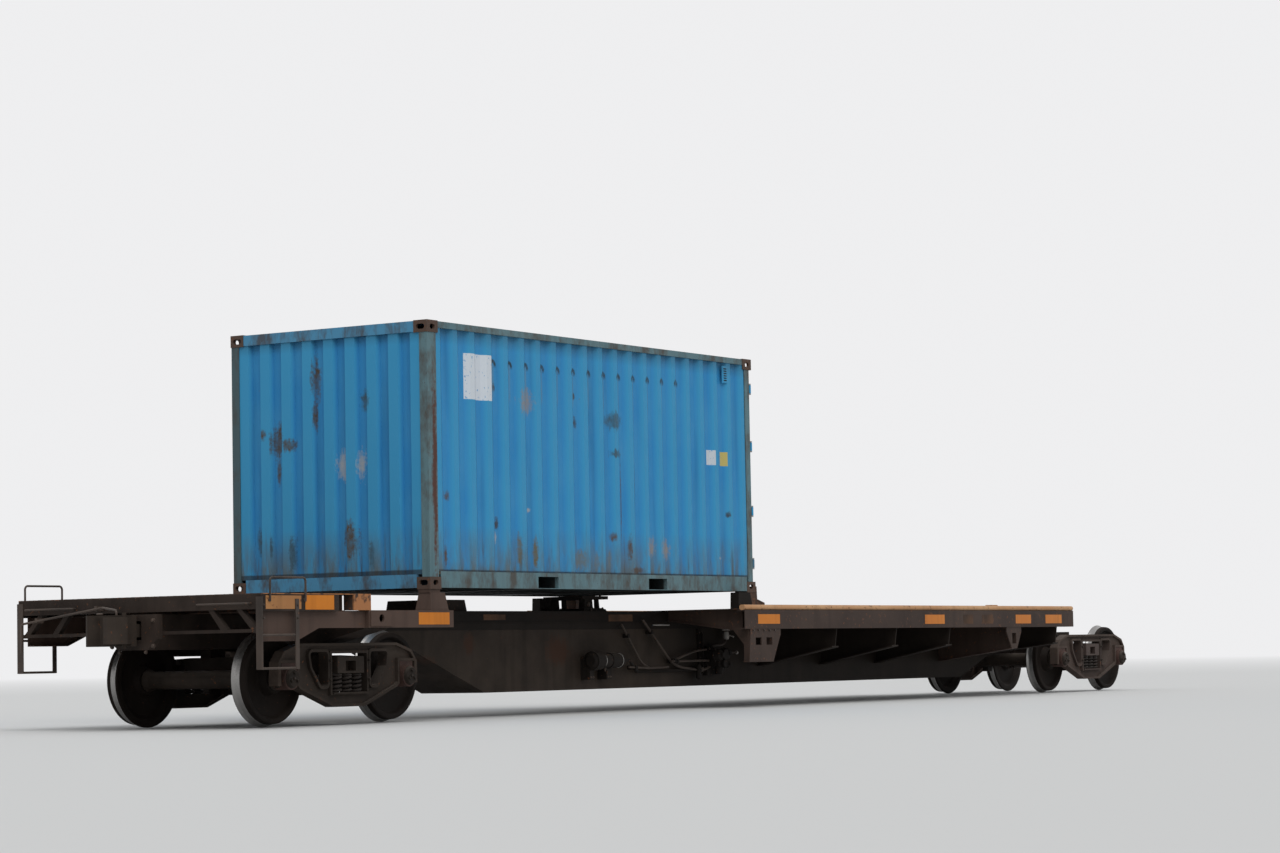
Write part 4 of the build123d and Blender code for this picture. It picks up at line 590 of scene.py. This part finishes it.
class Shape:
    """Mesh under construction, gathered from solids that each name their finish."""

    def __init__(self):
        self.points, self.faces, self.looks, self.smooth = [], [], [], []

    def add(self, points, faces, look, smooth=False):
        first = len(self.points)
        self.points.extend(tuple(point) for point in points)
        for face in faces:
            self.faces.append(tuple(first + corner for corner in face))
            self.looks.append(look)
            self.smooth.append(smooth)

    def prism(self, outline, axis, low, high, look):
        """Plate whose outline lies across one axis; outlines are (y, z), (x, z) or (x, y)."""
        order = {"X": (2, 0, 1), "Y": (0, 2, 1), "Z": (0, 1, 2)}[axis]
        count = len(outline)
        points = [[(a, b, level)[i] for i in order] for level in (low, high) for a, b in outline]
        sides = [(i, (i + 1) % count, count + (i + 1) % count, count + i) for i in range(count)]
        self.add(points, [tuple(range(count)), tuple(range(count, 2 * count)), *sides], look)

    def block(self, low, high, look):
        """Box between two corners."""
        (x0, y0, z0), (x1, y1, z1) = low, high
        self.prism(rectangle(x0, x1, z0, z1), "Y", y0, y1, look)

    def sweep(self, rings, look, closed_ends=True, smooth=True):
        """Skin through rings of equally many points."""
        count = len(rings[0])
        points = [point for ring in rings for point in ring]
        faces = []
        for r in range(len(rings) - 1):
            for i in range(count):
                j = (i + 1) % count
                faces.append((r * count + i, r * count + j, (r + 1) * count + j, (r + 1) * count + i))
        self.add(points, faces, look, smooth)
        if closed_ends:
            for ring in (rings[0], rings[-1]):
                self.add(ring, [tuple(range(count))], look)

    def tube(self, line, radius, look, sides=10):
        """Round bar along a line of points, with capped ends."""
        line = [Vector(point) for point in line]
        across, _ = ring_frame(line[1] - line[0])
        rings = []
        for i, point in enumerate(line):
            ahead = (line[min(i + 1, len(line) - 1)] - line[max(i - 1, 0)]).normalized()
            across = (across - ahead * across.dot(ahead)).normalized()
            rings.append(circle(point, radius, across, ahead.cross(across), sides))
        self.sweep(rings, look)

    def turned(self, profile, centre, axis, look="rod_steel", sides=14, looks=None):
        """Line of (radius, distance along the axis) turned about an axis; `looks` names one per step."""
        first, second = ring_frame(axis)
        axis, centre = Vector(axis).normalized(), Vector(centre)
        rings = [
            circle(centre + axis * offset, radius, first, second, sides) for radius, offset in profile
        ]
        for step in range(len(rings) - 1):
            self.sweep(rings[step:step + 2], looks[step] if looks else look, closed_ends=False)
        for end, ring in ((profile[0], rings[0]), (profile[-1], rings[-1])):
            if end[0] > 1e-6:
                self.add(ring, [tuple(range(sides))], look)

    def coil(self, centre, radius, wire, bottom, top, turns, look, sides=8):
        """Coil spring between two heights, with closed end turns."""
        steps = int(turns * 20)
        line = []
        for step in range(steps + 1):
            t = step / steps
            eased = min(max((t * turns - 0.6) / (turns - 1.2), 0.0), 1.0)
            angle = 2 * math.pi * turns * t
            height = bottom + wire + (top - bottom - 2 * wire) * eased
            x, y = radius * math.cos(angle), radius * math.sin(angle)
            line.append((centre[0] + x, centre[1] + y, height))
        self.tube(line, wire, look, sides)

    def bolt(self, place, direction, across, look="rod_steel"):
        """Hexagon head on its washer."""
        direction = Vector(direction)
        self.turned([(0.75 * across, 0.0), (0.75 * across, 0.12 * across)], place, direction, look)
        head = Vector(place) + direction * 0.12 * across
        reach = across / math.sqrt(3)
        profile = [(reach, 0.0), (reach, 0.5 * across), (0.8 * reach, 0.62 * across)]
        self.turned(profile, head, direction, look, sides=6)

    def piece(self, name, body="car", bevel=0.0):
        """Object of the gathered mesh, riding on a body, with the finishes that its faces name."""
        mesh = bpy.data.meshes.new(name)
        mesh.from_pydata(self.points, [], self.faces)
        used = sorted(set(self.looks))
        for look in used:
            mesh.materials.append(PAINTS[look])
        for polygon, look, smooth in zip(mesh.polygons, self.looks, self.smooth):
            polygon.material_index = used.index(look)
            polygon.use_smooth = smooth
        tidy = bmesh.new()
        tidy.from_mesh(mesh)
        bmesh.ops.remove_doubles(tidy, verts=tidy.verts, dist=1e-5)
        bmesh.ops.recalc_face_normals(tidy, faces=tidy.faces)
        tidy.to_mesh(mesh)
        tidy.free()
        thing = bpy.data.objects.new(name, mesh)
        scene.collection.objects.link(thing)
        if bevel:
            edge = thing.modifiers.new("edge", "BEVEL")
            edge.width = bevel
            edge.segments = 2
            edge.limit_method = "ANGLE"
        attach(thing, body)
        return thing


# How far a fitting reaches into the face that carries it
SEAT = 0.0005


def around(centre, reach, y, turn):
    """Place on a circle about an axis across the car, y being measured from the centre."""
    angle = math.radians(turn)
    return centre + Vector((reach * math.cos(angle), y, reach * math.sin(angle)))


# Wheelsets

RAIL_HEIGHT = 0.0254
WHEEL_RADIUS = 0.4191
WHEEL_BACK = 0.6795

# Wheel section from the bore outwards, as (radius, distance past the wheel's back)
WHEEL_SECTION = (
    (0.105, -0.012), (0.130, -0.012), (0.156, 0.045), (0.330, 0.060), (0.365, 0.002),
    (WHEEL_RADIUS + 0.012, 0.0), (WHEEL_RADIUS + 0.0254, 0.014), (WHEEL_RADIUS + 0.003, 0.038),
    (WHEEL_RADIUS - 0.0008, 0.092), (WHEEL_RADIUS - 0.004, 0.137), (WHEEL_RADIUS - 0.012, 0.145),
    (0.368, 0.145), (0.345, 0.095), (0.160, 0.082), (0.130, 0.170), (0.105, 0.170),
)
TREAD_RADIUS = 0.408
TREAD_BACK = WHEEL_BACK + 0.016
TREAD_FRONT = WHEEL_BACK + 0.092


def wheel_looks(profile):
    """Polished running band and flange throat, brown everywhere else."""
    looks = []
    for (radius_a, y_a), (radius_b, y_b) in zip(profile, profile[1:]):
        radius, y = (radius_a + radius_b) / 2, (y_a + y_b) / 2
        on_tread = radius > TREAD_RADIUS and TREAD_BACK < y < TREAD_FRONT
        looks.append("tread" if on_tread else "wheel_steel")
    return looks


def add_wheelset(number):
    """Turned wheels in place of the plain ones, and the axle caps' bolts."""
    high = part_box(f"axle_{number}")[1]
    centre = middle_of(f"axle_{number}")
    corners = [(radius, WHEEL_BACK + past, 0.0) for radius, past in WHEEL_SECTION]
    section = [(point.x, point.y) for point in rounded(corners, 0.012)]
    shape = Shape()
    for side in (-1, 1):
        shape.turned(section, centre, (0, side, 0), sides=72, looks=wheel_looks(section))
    wheels = shape.piece(f"turned_wheels_{number}", f"wheelset_{number}")
    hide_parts(f"wheels_{number}")

    caps = Shape()
    grease_cap = [(0.012, 0.0), (0.012, 0.008), (0.006, 0.014)]
    for side in (-1, 1):
        outwards = (0, side, 0)
        for turn in (90.0, 210.0, 330.0):
            caps.bolt(around(centre, 0.048, side * (high.y - 0.001), turn), outwards, 0.026, "cast_steel")
        caps.turned(grease_cap, centre + Vector((0, side * high.y, 0)), outwards, sides=12)
    caps.piece(f"axle_cap_bolts_{number}", f"wheelset_{number}")


# Trucks

COIL_SPREAD = 0.148
COIL_Y = 0.960
COIL_RADIUS = 0.062


def add_springs(truck):
    """Coil springs in place of the plain cylinders, an inner coil in each outer one."""
    low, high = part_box(f"{truck}_springs")
    middle = middle_of(f"{truck}_springs").x
    shape = Shape()
    for side in (-1, 1):
        for offset in (-COIL_SPREAD, 0.0, COIL_SPREAD):
            centre = (middle + offset, side * COIL_Y)
            shape.coil(centre, COIL_RADIUS - 0.0125, 0.0125, low.z, high.z, 5.0, "spring_steel")
            shape.coil(centre, COIL_RADIUS - 0.034, 0.007, low.z, high.z, 7.0, "spring_steel", sides=6)
    springs = shape.piece(f"{truck}_coils", truck)
    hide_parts(f"{truck}_springs")


def add_truck_fittings(truck):
    """Column bolts, jaw lugs and brake levers of one truck."""
    middle = middle_of(f"{truck}_side_frames").x
    outer_y, bearing_y, axle_x, pin_z = 1.015, 0.958, 0.889, 0.345
    foot_x, head_x = 0.375, 0.315
    shape = Shape()
    for side in (-1, 1):
        for end in (-1, 1):
            # Column bolts beside the bolster opening
            for height in (0.42, 0.60):
                place = (middle + end * 0.292, side * (outer_y - SEAT), height)
                shape.bolt(place, (0, side, 0), 0.026, "cast_steel")
            # Lugs that tie the jaw's foot under the bearing
            jaw, y = middle + end * axle_x, side * bearing_y
            for rear in (-0.112, 0.100):
                lug = (jaw + rear + 0.012, y + 0.022, 0.440)
                shape.block((jaw + rear, y - 0.022, 0.360), lug, "cast_steel")
    # Live and dead levers, with the rod that joins their feet under the bolster
    for end in (-1, 1):
        foot, head = middle + end * foot_x, middle + end * head_x
        lever = [
            (foot - 0.032, 0.320), (foot + 0.032, 0.320), (head + 0.022, 0.640), (head - 0.022, 0.640),
        ]
        for gap_side in (-1, 1):
            shape.prism(lever, "Y", gap_side * 0.030 - 0.008, gap_side * 0.030 + 0.008, "rod_steel")
        for pin_height, pin_x in ((pin_z, foot), (0.400, foot - end * 0.008), (0.610, head)):
            shape.turned([(0.018, -0.052), (0.018, 0.052)], (pin_x, 0.0, pin_height), (0, 1, 0))
    shape.tube([(middle + end * foot_x, 0.0, pin_z) for end in (-1, 0, 1)], 0.016, "rod_steel")
    shape.piece(f"{truck}_fittings", truck, bevel=0.002)


# Car body

NEAR = -1.4500
SPINE_SIDE = -0.4000
WEB = SPINE_SIDE + SEAT
SHEET = 0.0016

# Pieces with their finish and sheets; columns: side face, front x, rear x, foot z, top z
REFLECTORS = (
    ("reflectors", "reflector", (
        (NEAR, -8.802, -8.387, 1.060, 1.190), (NEAR, -7.106, -6.620, 0.922, 1.036),
        (NEAR, -0.892, -0.422, 0.915, 1.020), (NEAR, 2.998, 3.498, 0.905, 1.015),
        (NEAR, 5.418, 5.848, 0.905, 1.015), (NEAR, 6.268, 6.738, 0.905, 1.015),
    )),
    ("faded_reflectors", "reflector_faded", ((NEAR, -9.360, -8.860, 1.065, 1.185),)),
    # Darker sheets: painted shade on those on the spine's side, which lie in the container's shadow, and
    # dirt
    ("shade_and_dirt_reflectors", "reflector_dirty", (
        (SPINE_SIDE, -4.593, -4.206, 0.983, 1.040), (SPINE_SIDE, -2.277, -1.804, 0.965, 1.040),
        (NEAR, 3.998, 4.250, 0.905, 1.015), (NEAR, 4.500, 4.790, 0.905, 1.015),
    )),
)


def add_reflectors():
    """Blank reflective sheets along both sides."""
    for name, look, sheets in REFLECTORS:
        shape = Shape()
        for face, front, rear, foot, top in sheets:
            outline = rectangle(front, rear, foot, top)
            for side in (-1, 1):
                level = side * abs(face)
                shape.prism(outline, "Y", level - side * 0.0004, level + side * SHEET, look)
        shape.piece(name)


PIPE_Y = -0.462

# Columns: places (x, z) of the run, radius, distance across the car
SPINE_RUNS = (
    (((-2.105, 0.935), (-1.721, 0.511), (-1.560, 0.455)), 0.013, -0.450),
    (((-1.700, 0.985), (-1.140, 0.520), (-0.960, 0.455), (-0.620, 0.425)), 0.015, PIPE_Y),
    (((-1.180, 0.512), (-0.950, 0.575), (-0.660, 0.635), (-0.440, 0.645)), 0.014, -0.492),
    (((-0.350, 0.655), (-0.240, 0.690), (-0.060, 0.695), (0.010, 0.740), (0.020, 0.860)), 0.014, -0.480),
    (((-1.160, 0.520), (-0.860, 0.523), (-0.400, 0.523)), 0.013, -0.500),
    (((-2.040, 0.470), (-1.600, 0.452), (-1.240, 0.462)), 0.012, -0.495),
    (((-0.140, 0.600), (0.060, 0.606), (0.260, 0.606)), 0.009, -0.470),
)


def add_spine_pipes():
    """Brake rods and pipes on the spine's near side, with clamps, cut-out cock and pale bar."""
    shape = Shape()
    for places, radius, y in SPINE_RUNS:
        line = [Vector((x, y, z)) for x, z in places]
        shape.tube(rounded(line, 0.09), radius, "rod_steel")
        clamp = line[0] + (line[1] - line[0]) * 0.3
        corner = (clamp.x + 0.018, WEB, clamp.z + 0.022)
        shape.block((clamp.x - 0.018, y - 0.022, clamp.z - 0.022), corner, "fitting_dark")
    cock_x, cock_y, cock_z = 0.020, -0.480, 0.800
    body = [(0.026, -0.045), (0.034, -0.020), (0.034, 0.020), (0.026, 0.045)]
    bonnet = [(0.044, -0.010), (0.048, 0.0), (0.044, 0.010)]
    for profile, height in ((body, cock_z), (bonnet, 0.868)):
        shape.turned(profile, (cock_x, cock_y, height), (0, 0, 1), "pale_steel", sides=18)
    handle = [(cock_x, cock_y, cock_z), (cock_x, cock_y - 0.060, cock_z), (cock_x, cock_y - 0.100, 0.782)]
    shape.tube(handle, 0.009, "pale_steel")
    union = [(0.016, -0.012), (0.022, 0.0), (0.016, 0.012)]
    shape.turned(union, (0.262, -0.470, 0.606), (1, 0, 0), "pale_steel")
    # Pale bar lying along the lap strip
    bar_y = -0.4185
    bar = [(-1.417, bar_y, 0.924), (-1.250, bar_y, 0.924), (-1.088, bar_y, 0.923)]
    shape.tube(bar, 0.008, "pale_steel")
    shape.piece("spine_pipes", bevel=0.0015)


def add_valve_details():
    """Mounting post, flanged portions, strainer and elbows of the control valve."""
    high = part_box("control_valve")[1]
    middle = middle_of("control_valve")
    shape = Shape()
    # Post that the valve hangs on, bolted up under the lap strip
    post_y = -0.4255
    post = [(-0.478, 0.344), (-0.412, 0.344), (-0.404, 0.870), (-0.486, 0.870)]
    shape.prism(post, "Y", post_y, WEB, "fitting_dark")
    rib = [(post_y, 0.360), (-0.4600, 0.400), (-0.4600, 0.820), (post_y, 0.860)]
    shape.prism(rib, "X", -0.452, -0.438, "fitting_dark")
    for height in (0.400, 0.560, 0.720, 0.840):
        for place_x in (-0.466, -0.424):
            shape.bolt((place_x, post_y + SEAT, height), (0, -1, 0), 0.014)
    # Flanged portions on either side of the pipe bracket
    for offset, height, radius in ((-0.075, 0.580, 0.066), (0.080, 0.600, 0.058), (0.078, 0.478, 0.046)):
        outline = [
            (radius + 0.014, 0.0), (radius + 0.014, 0.012), (radius, 0.014), (radius, 0.062),
            (0.72 * radius, 0.080), (0.42 * radius, 0.084), (0.42 * radius, 0.104),
        ]
        centre = Vector((middle.x + offset, -0.556, height))
        shape.turned(outline, centre, (0, -1, 0), "fitting_dark", sides=24)
        for turn in range(0, 360, 60):
            shape.bolt(around(centre, radius + 0.007, -0.012, turn), (0, -1, 0), 0.010)
    # Strainer with its bowl, hung on the lower pipe
    bowl_x, pipe_z = -0.560, 0.425
    bowl = [
        (0.020, 0.075), (0.034, 0.060), (0.034, 0.020), (0.044, 0.016),
        (0.044, 0.002), (0.032, -0.006), (0.030, -0.075), (0.012, -0.092),
    ]
    shape.turned(bowl, (bowl_x, PIPE_Y, 0.405), (0, 0, 1), "fitting_dark", sides=22)
    nut = [(0.024, -0.024), (0.030, -0.008), (0.030, 0.008), (0.024, 0.024)]
    shape.turned(nut, (bowl_x + 0.060, PIPE_Y, pipe_z), (1, 0, 0), sides=16)
    pipe = [(bowl_x + 0.030, PIPE_Y, pipe_z), (-0.420, PIPE_Y, pipe_z), (-0.330, -0.470, 0.455)]
    shape.tube(rounded(pipe, 0.05), 0.014, "rod_steel")
    # Nipples on the right of the valve
    nipple = [(0.020, 0.0), (0.020, 0.022), (0.013, 0.026), (0.013, 0.046)]
    for height, y in ((0.480, -0.585), (0.560, -0.545), (0.420, -0.440)):
        shape.turned(nipple, (high.x - 0.045, y, height), (1, 0, 0))
    shape.piece("brake_valve_details", bevel=0.001)


def add_reservoir_details():
    """Pale bands at the tank's joints, its drain cock, and bolt heads under it."""
    low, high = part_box("air_reservoir")
    centre_y, centre_z, radius = -0.540, 0.520 + RAIL_HEIGHT, 0.0755
    inner, outer = radius - 0.002, radius + 0.0035
    ring = [(inner, -0.010), (outer, -0.008), (outer, 0.008), (inner, 0.010)]
    shape = Shape()
    for place_x in (low.x + 0.207, high.x - 0.050):
        shape.turned(ring, (place_x, centre_y, centre_z), (1, 0, 0), "pale_steel", sides=36)
    cock = [(0.014, -0.006), (0.014, 0.022), (0.008, 0.026), (0.008, 0.040)]
    shape.turned(cock, (low.x + 0.280, centre_y, centre_z - 0.075), (0, 0, -1), sides=12)
    for place_x in (low.x + 0.0575, low.x + 0.3875):
        for offset in (-0.022, 0.022):
            shape.bolt((place_x + offset, -0.5195, 0.372), (0, -1, 0), 0.016)
    shape.piece("reservoir_details", bevel=0.001)


def add_fastener_rows():
    """Bolt heads on the sill steps, side brackets and pedestals."""
    steps_low, steps_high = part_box("sill_steps")
    bracket_low, bracket_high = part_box("bracket_20ft")
    shape = Shape()
    for side in (-1, 1):
        outwards = (0, side, 0)
        for stile_x in (steps_low.x + 0.020, steps_high.x - 0.020):
            for height in (0.985, 1.100):
                shape.bolt((stile_x, side * (steps_high.y - SEAT), height), outwards, 0.015)
        for column in range(5):
            place_x = bracket_low.x + 0.09 + column * 0.115
            shape.bolt((place_x, side * (bracket_high.y - SEAT), 0.845), outwards, 0.020)
        for node in ("front_pedestals", "rear_pedestals"):
            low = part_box(node)[0]
            for offset in (-0.105, 0.105):
                shape.bolt((low.x + 0.147 + offset, side * 1.125, low.z + 0.020), (0, 0, 1), 0.024)
    shape.piece("fasteners")


def add_deck_treads():
    """Raised lozenges on the end deck, turned alternately."""
    low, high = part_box("end_deck")
    rows, columns, margin, long, wide = 15, 34, 0.06, 0.016, 0.004
    pitch_x = (high.x - 0.46 - low.x) / rows
    pitch_y = (high.y - low.y - 2 * margin) / columns
    shape = Shape()
    for row in range(rows):
        for column in range(columns):
            x = low.x + margin + (row + 0.5) * pitch_x
            y = low.y + margin + (column + 0.5) * pitch_y
            turn = 1 if (row + column) % 2 else -1
            outline = [
                (x - long, y - long * turn), (x + wide, y - wide * turn),
                (x + long, y + long * turn), (x - wide, y + wide * turn),
            ]
            shape.prism(outline, "Z", high.z - SEAT, high.z + 0.003, "deck_steel")
    shape.piece("end_deck_treads")


# Container fittings


def add_container_vents():
    """Louvred ventilators near the top corners of both side walls."""
    shape = Shape()
    foot, top, length = 3.560, 3.752, 0.105
    for side, front in ((-1, -1.150), (1, -6.196)):
        rear, outer = front + length, side * 1.2150
        # Cover pressed out of sheet, with sloping edges
        rings = []
        for y, margin in ((1.2035, 0.0), (1.2125, 0.004), (1.2150, 0.014)):
            corners = rectangle(front + margin, rear - margin, foot + margin, top - margin)
            rings.append([(x, side * y, z) for x, z in corners])
        shape.sweep(rings, "container_blue", smooth=False)
        for louvre in range(6):
            height = foot + 0.026 + louvre * 0.0255
            # Dark sheet in each louvre's gap: painted shade standing in for the vent's shaded opening
            slot = rectangle(front + 0.022, rear - 0.022, height, height + 0.012)
            shape.prism(slot, "Y", outer, outer + side * 0.0012, "rubber")
            crest = (outer + side * 0.0030, height + 0.013)
            lip = [(outer, height + 0.012), crest, (outer, height + 0.018)]
            shape.prism(lip, "X", front + 0.020, rear - 0.020, "container_blue")
    shape.piece("container_vents")


LEAF_FACE = -0.6190
LEAF_IN, LEAF_OUT = 0.003, 1.138
LEAF_FOOT, LEAF_TOP = 1.4154, 3.7244
HINGE_HEIGHTS = (1.5854, 2.1654, 2.8854, 3.5254)
GUIDE_HEIGHTS = (1.5654, 2.3454, 2.7654, 3.5654)
BAR_YS = (0.230, 0.800)
BAR_X = -0.593
HANDLE_HEIGHT = 2.4454
HINGE_Y, HINGE_BLADE = 1.205, -0.6135
GUIDE_FACE, GRIP_X = -0.5895, -0.5905
CATCH_BACK, CATCH_FRONT = -0.6145, -0.6030


def add_door_details(body, side):
    """Rubber seal, bolt heads, handle hubs and grips of one door leaf."""
    shape = Shape()
    # Seal lip that lies round the leaf's face: outer foot, crest and inner foot
    rings = []
    for margin, proud in ((0.001, 0.0), (0.004, 0.0045), (0.012, 0.0055), (0.024, 0.002), (0.026, 0.0)):
        y_in, y_out = side * (LEAF_IN + margin), side * (LEAF_OUT - margin)
        corners = rectangle(y_in, y_out, LEAF_FOOT + margin, LEAF_TOP - margin)
        rings.append([(LEAF_FACE - 0.0004 + proud, y, z) for y, z in corners])
    shape.sweep(rings, "rubber", closed_ends=False, smooth=False)
    for height in HINGE_HEIGHTS:
        for inset in (0.067, 0.120):
            for lift in (0.024, -0.024):
                shape.bolt((HINGE_BLADE, side * (HINGE_Y - inset), height + lift), (1, 0, 0), 0.017)
    collar = [(0.0152, -0.004), (0.020, -0.002), (0.020, 0.002), (0.0152, 0.004)]
    hub = [(0.0152, -0.034), (0.022, -0.030), (0.022, 0.030), (0.0152, 0.034)]
    for bar_y in BAR_YS:
        # Collars above and below the guides, and the hub that the handle is pinned in
        for height in GUIDE_HEIGHTS:
            for offset in (-0.0245, 0.0245):
                shape.bolt((GUIDE_FACE, side * (bar_y + offset), height), (1, 0, 0), 0.011)
            for offset in (-0.028, 0.028):
                place = (BAR_X, side * bar_y, height + offset)
                shape.turned(collar, place, (0, 0, 1), "fitting_dark", sides=18)
        hub_z = HANDLE_HEIGHT + bar_y / 5.0
        shape.turned(hub, (BAR_X, side * bar_y, hub_z), (0, 0, 1), "fitting_dark", sides=20)
        towards = 1 if bar_y < 0.5 else -1
        grip = [side * (bar_y + towards * reach) for reach in (0.200, 0.270, 0.326)]
        shape.tube([(GRIP_X, y, hub_z) for y in grip], 0.0115, "rod_steel", sides=12)
        catch = side * (bar_y + towards * 0.215)
        corner = (CATCH_FRONT, catch + 0.022, hub_z + 0.050)
        shape.block((CATCH_BACK, catch - 0.022, hub_z - 0.050), corner, "fitting_dark")
    shape.piece(f"{body}_fittings", body)


def add_hitch_details():
    """Pins, washers and bolts of the folded trailer hitch."""
    low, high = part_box("trailer_hitch")
    post_x, arm_z = low.x + 0.060, 1.097
    pin = [(0.024, 0.0), (0.024, 0.006), (0.012, 0.008)]
    shape = Shape()
    for side in (-1, 1):
        outwards = (0, side, 0)
        for height, radius, y in ((1.150, 0.026, 0.2545), (arm_z, 0.018, 0.2845)):
            washer = [(radius, 0.0), (radius, 0.006), (0.62 * radius, 0.007), (0.62 * radius, 0.012)]
            shape.turned(washer, (post_x + 0.088, side * y, height), outwards, sides=20)
        for place_x in (post_x + 0.240, post_x + 0.360):
            shape.bolt((place_x, side * 0.225, high.z - SEAT), (0, 0, 1), 0.022)
        shape.turned(pin, (post_x + 0.330, side * 0.2695, arm_z), outwards, sides=16)
    shape.piece("hitch_pins", bevel=0.001)


def add_coupler_details():
    """Head of the knuckle's pin, and the striker's bolts."""
    low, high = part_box("coupler")
    striker_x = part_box("draft_sill")[0].x + SEAT
    shape = Shape()
    pin = [(0.030, 0.0), (0.030, 0.010), (0.022, 0.016)]
    shape.turned(pin, (low.x + 0.075, 0.095, high.z - 0.0160), (0, 0, 1), sides=20)
    for side in (-1, 1):
        for height in (0.760, 0.990):
            shape.bolt((striker_x, side * 0.245, height), (-1, 0, 0), 0.030)
        shape.bolt((striker_x, side * 0.155, 0.705), (-1, 0, 0), 0.024)
    shape.piece("coupler_bolts")


# Stage: floor, world and lamp

BACKDROP = (0.86, 0.86, 0.87, 1.0)


def add_floor():
    """Plain pale floor under the wheels, which turns into the backdrop far away."""
    size = 300.0
    mesh = bpy.data.meshes.new("floor")
    mesh.from_pydata(
        [(x, y, 0.0) for x, y in rectangle(-size, size, -size, size)], [], [(0, 1, 2, 3)]
    )
    floor = bpy.data.objects.new("floor", mesh)
    coat = Shader("floor", 0.9)
    coat.surface("Base Color", (0.62, 0.62, 0.61))
    distance = coat.node("VectorMath", {0: coat.place}, operation="LENGTH")
    far = coat.span(distance.outputs["Value"], 34.0, 130.0)
    glow = coat.node("Emission", {"Color": BACKDROP})
    inputs = {
        0: coat.times(far, coat.seen_directly()),
        1: coat.principled.outputs[0],
        2: glow.outputs[0],
    }
    blend = coat.node("MixShader", inputs)
    coat.put(coat.tree.nodes["Material Output"].inputs["Surface"], blend.outputs[0])
    mesh.materials.append(coat.material)
    scene.collection.objects.link(floor)


def add_world():
    """White to the camera and in reflections, and a softer light on the object."""
    world = bpy.data.worlds.new("studio")
    scene.world = world
    world.use_nodes = True
    world.node_tree.nodes.clear()
    tree = Tree(world.node_tree)
    light = tree.node("Background", {"Color": (0.95, 0.97, 1.0, 1.0), "Strength": 0.6})
    seen = tree.node("Background", {"Color": BACKDROP, "Strength": 1.0})
    inputs = {0: tree.seen_directly(), 1: light.outputs[0], 2: seen.outputs[0]}
    mixed = tree.node("MixShader", inputs)
    tree.node("OutputWorld", {"Surface": mixed.outputs[0]})


def add_sun(name, strength, spread, elevation, azimuth):
    """Broad soft lamp, its direction given from the row's +X."""
    data = bpy.data.lights.new(name, "SUN")
    data.energy = strength
    data.angle = math.radians(spread)
    lamp = bpy.data.objects.new(name, data)
    turn = Matrix.Rotation(math.radians(azimuth), 4, "Z")
    lamp.matrix_world = turn @ Matrix.Rotation(math.radians(90.0 - elevation), 4, "Y")
    scene.collection.objects.link(lamp)


add_camera()
dress_cad_nodes()
for number in (1, 2, 3, 4):
    add_wheelset(number)
for truck in ("truck_a", "truck_b"):
    add_springs(truck)
    add_truck_fittings(truck)
add_reflectors()
add_spine_pipes()
add_valve_details()
add_reservoir_details()
add_fastener_rows()
add_deck_treads()
add_container_vents()
add_door_details("door_right", -1)
add_door_details("door_left", 1)
add_hitch_details()
add_coupler_details()
add_floor()
add_world()
add_sun("key", 1.5, 45.0, 52.0, -128.0)

scene.view_settings.view_transform = "Standard"
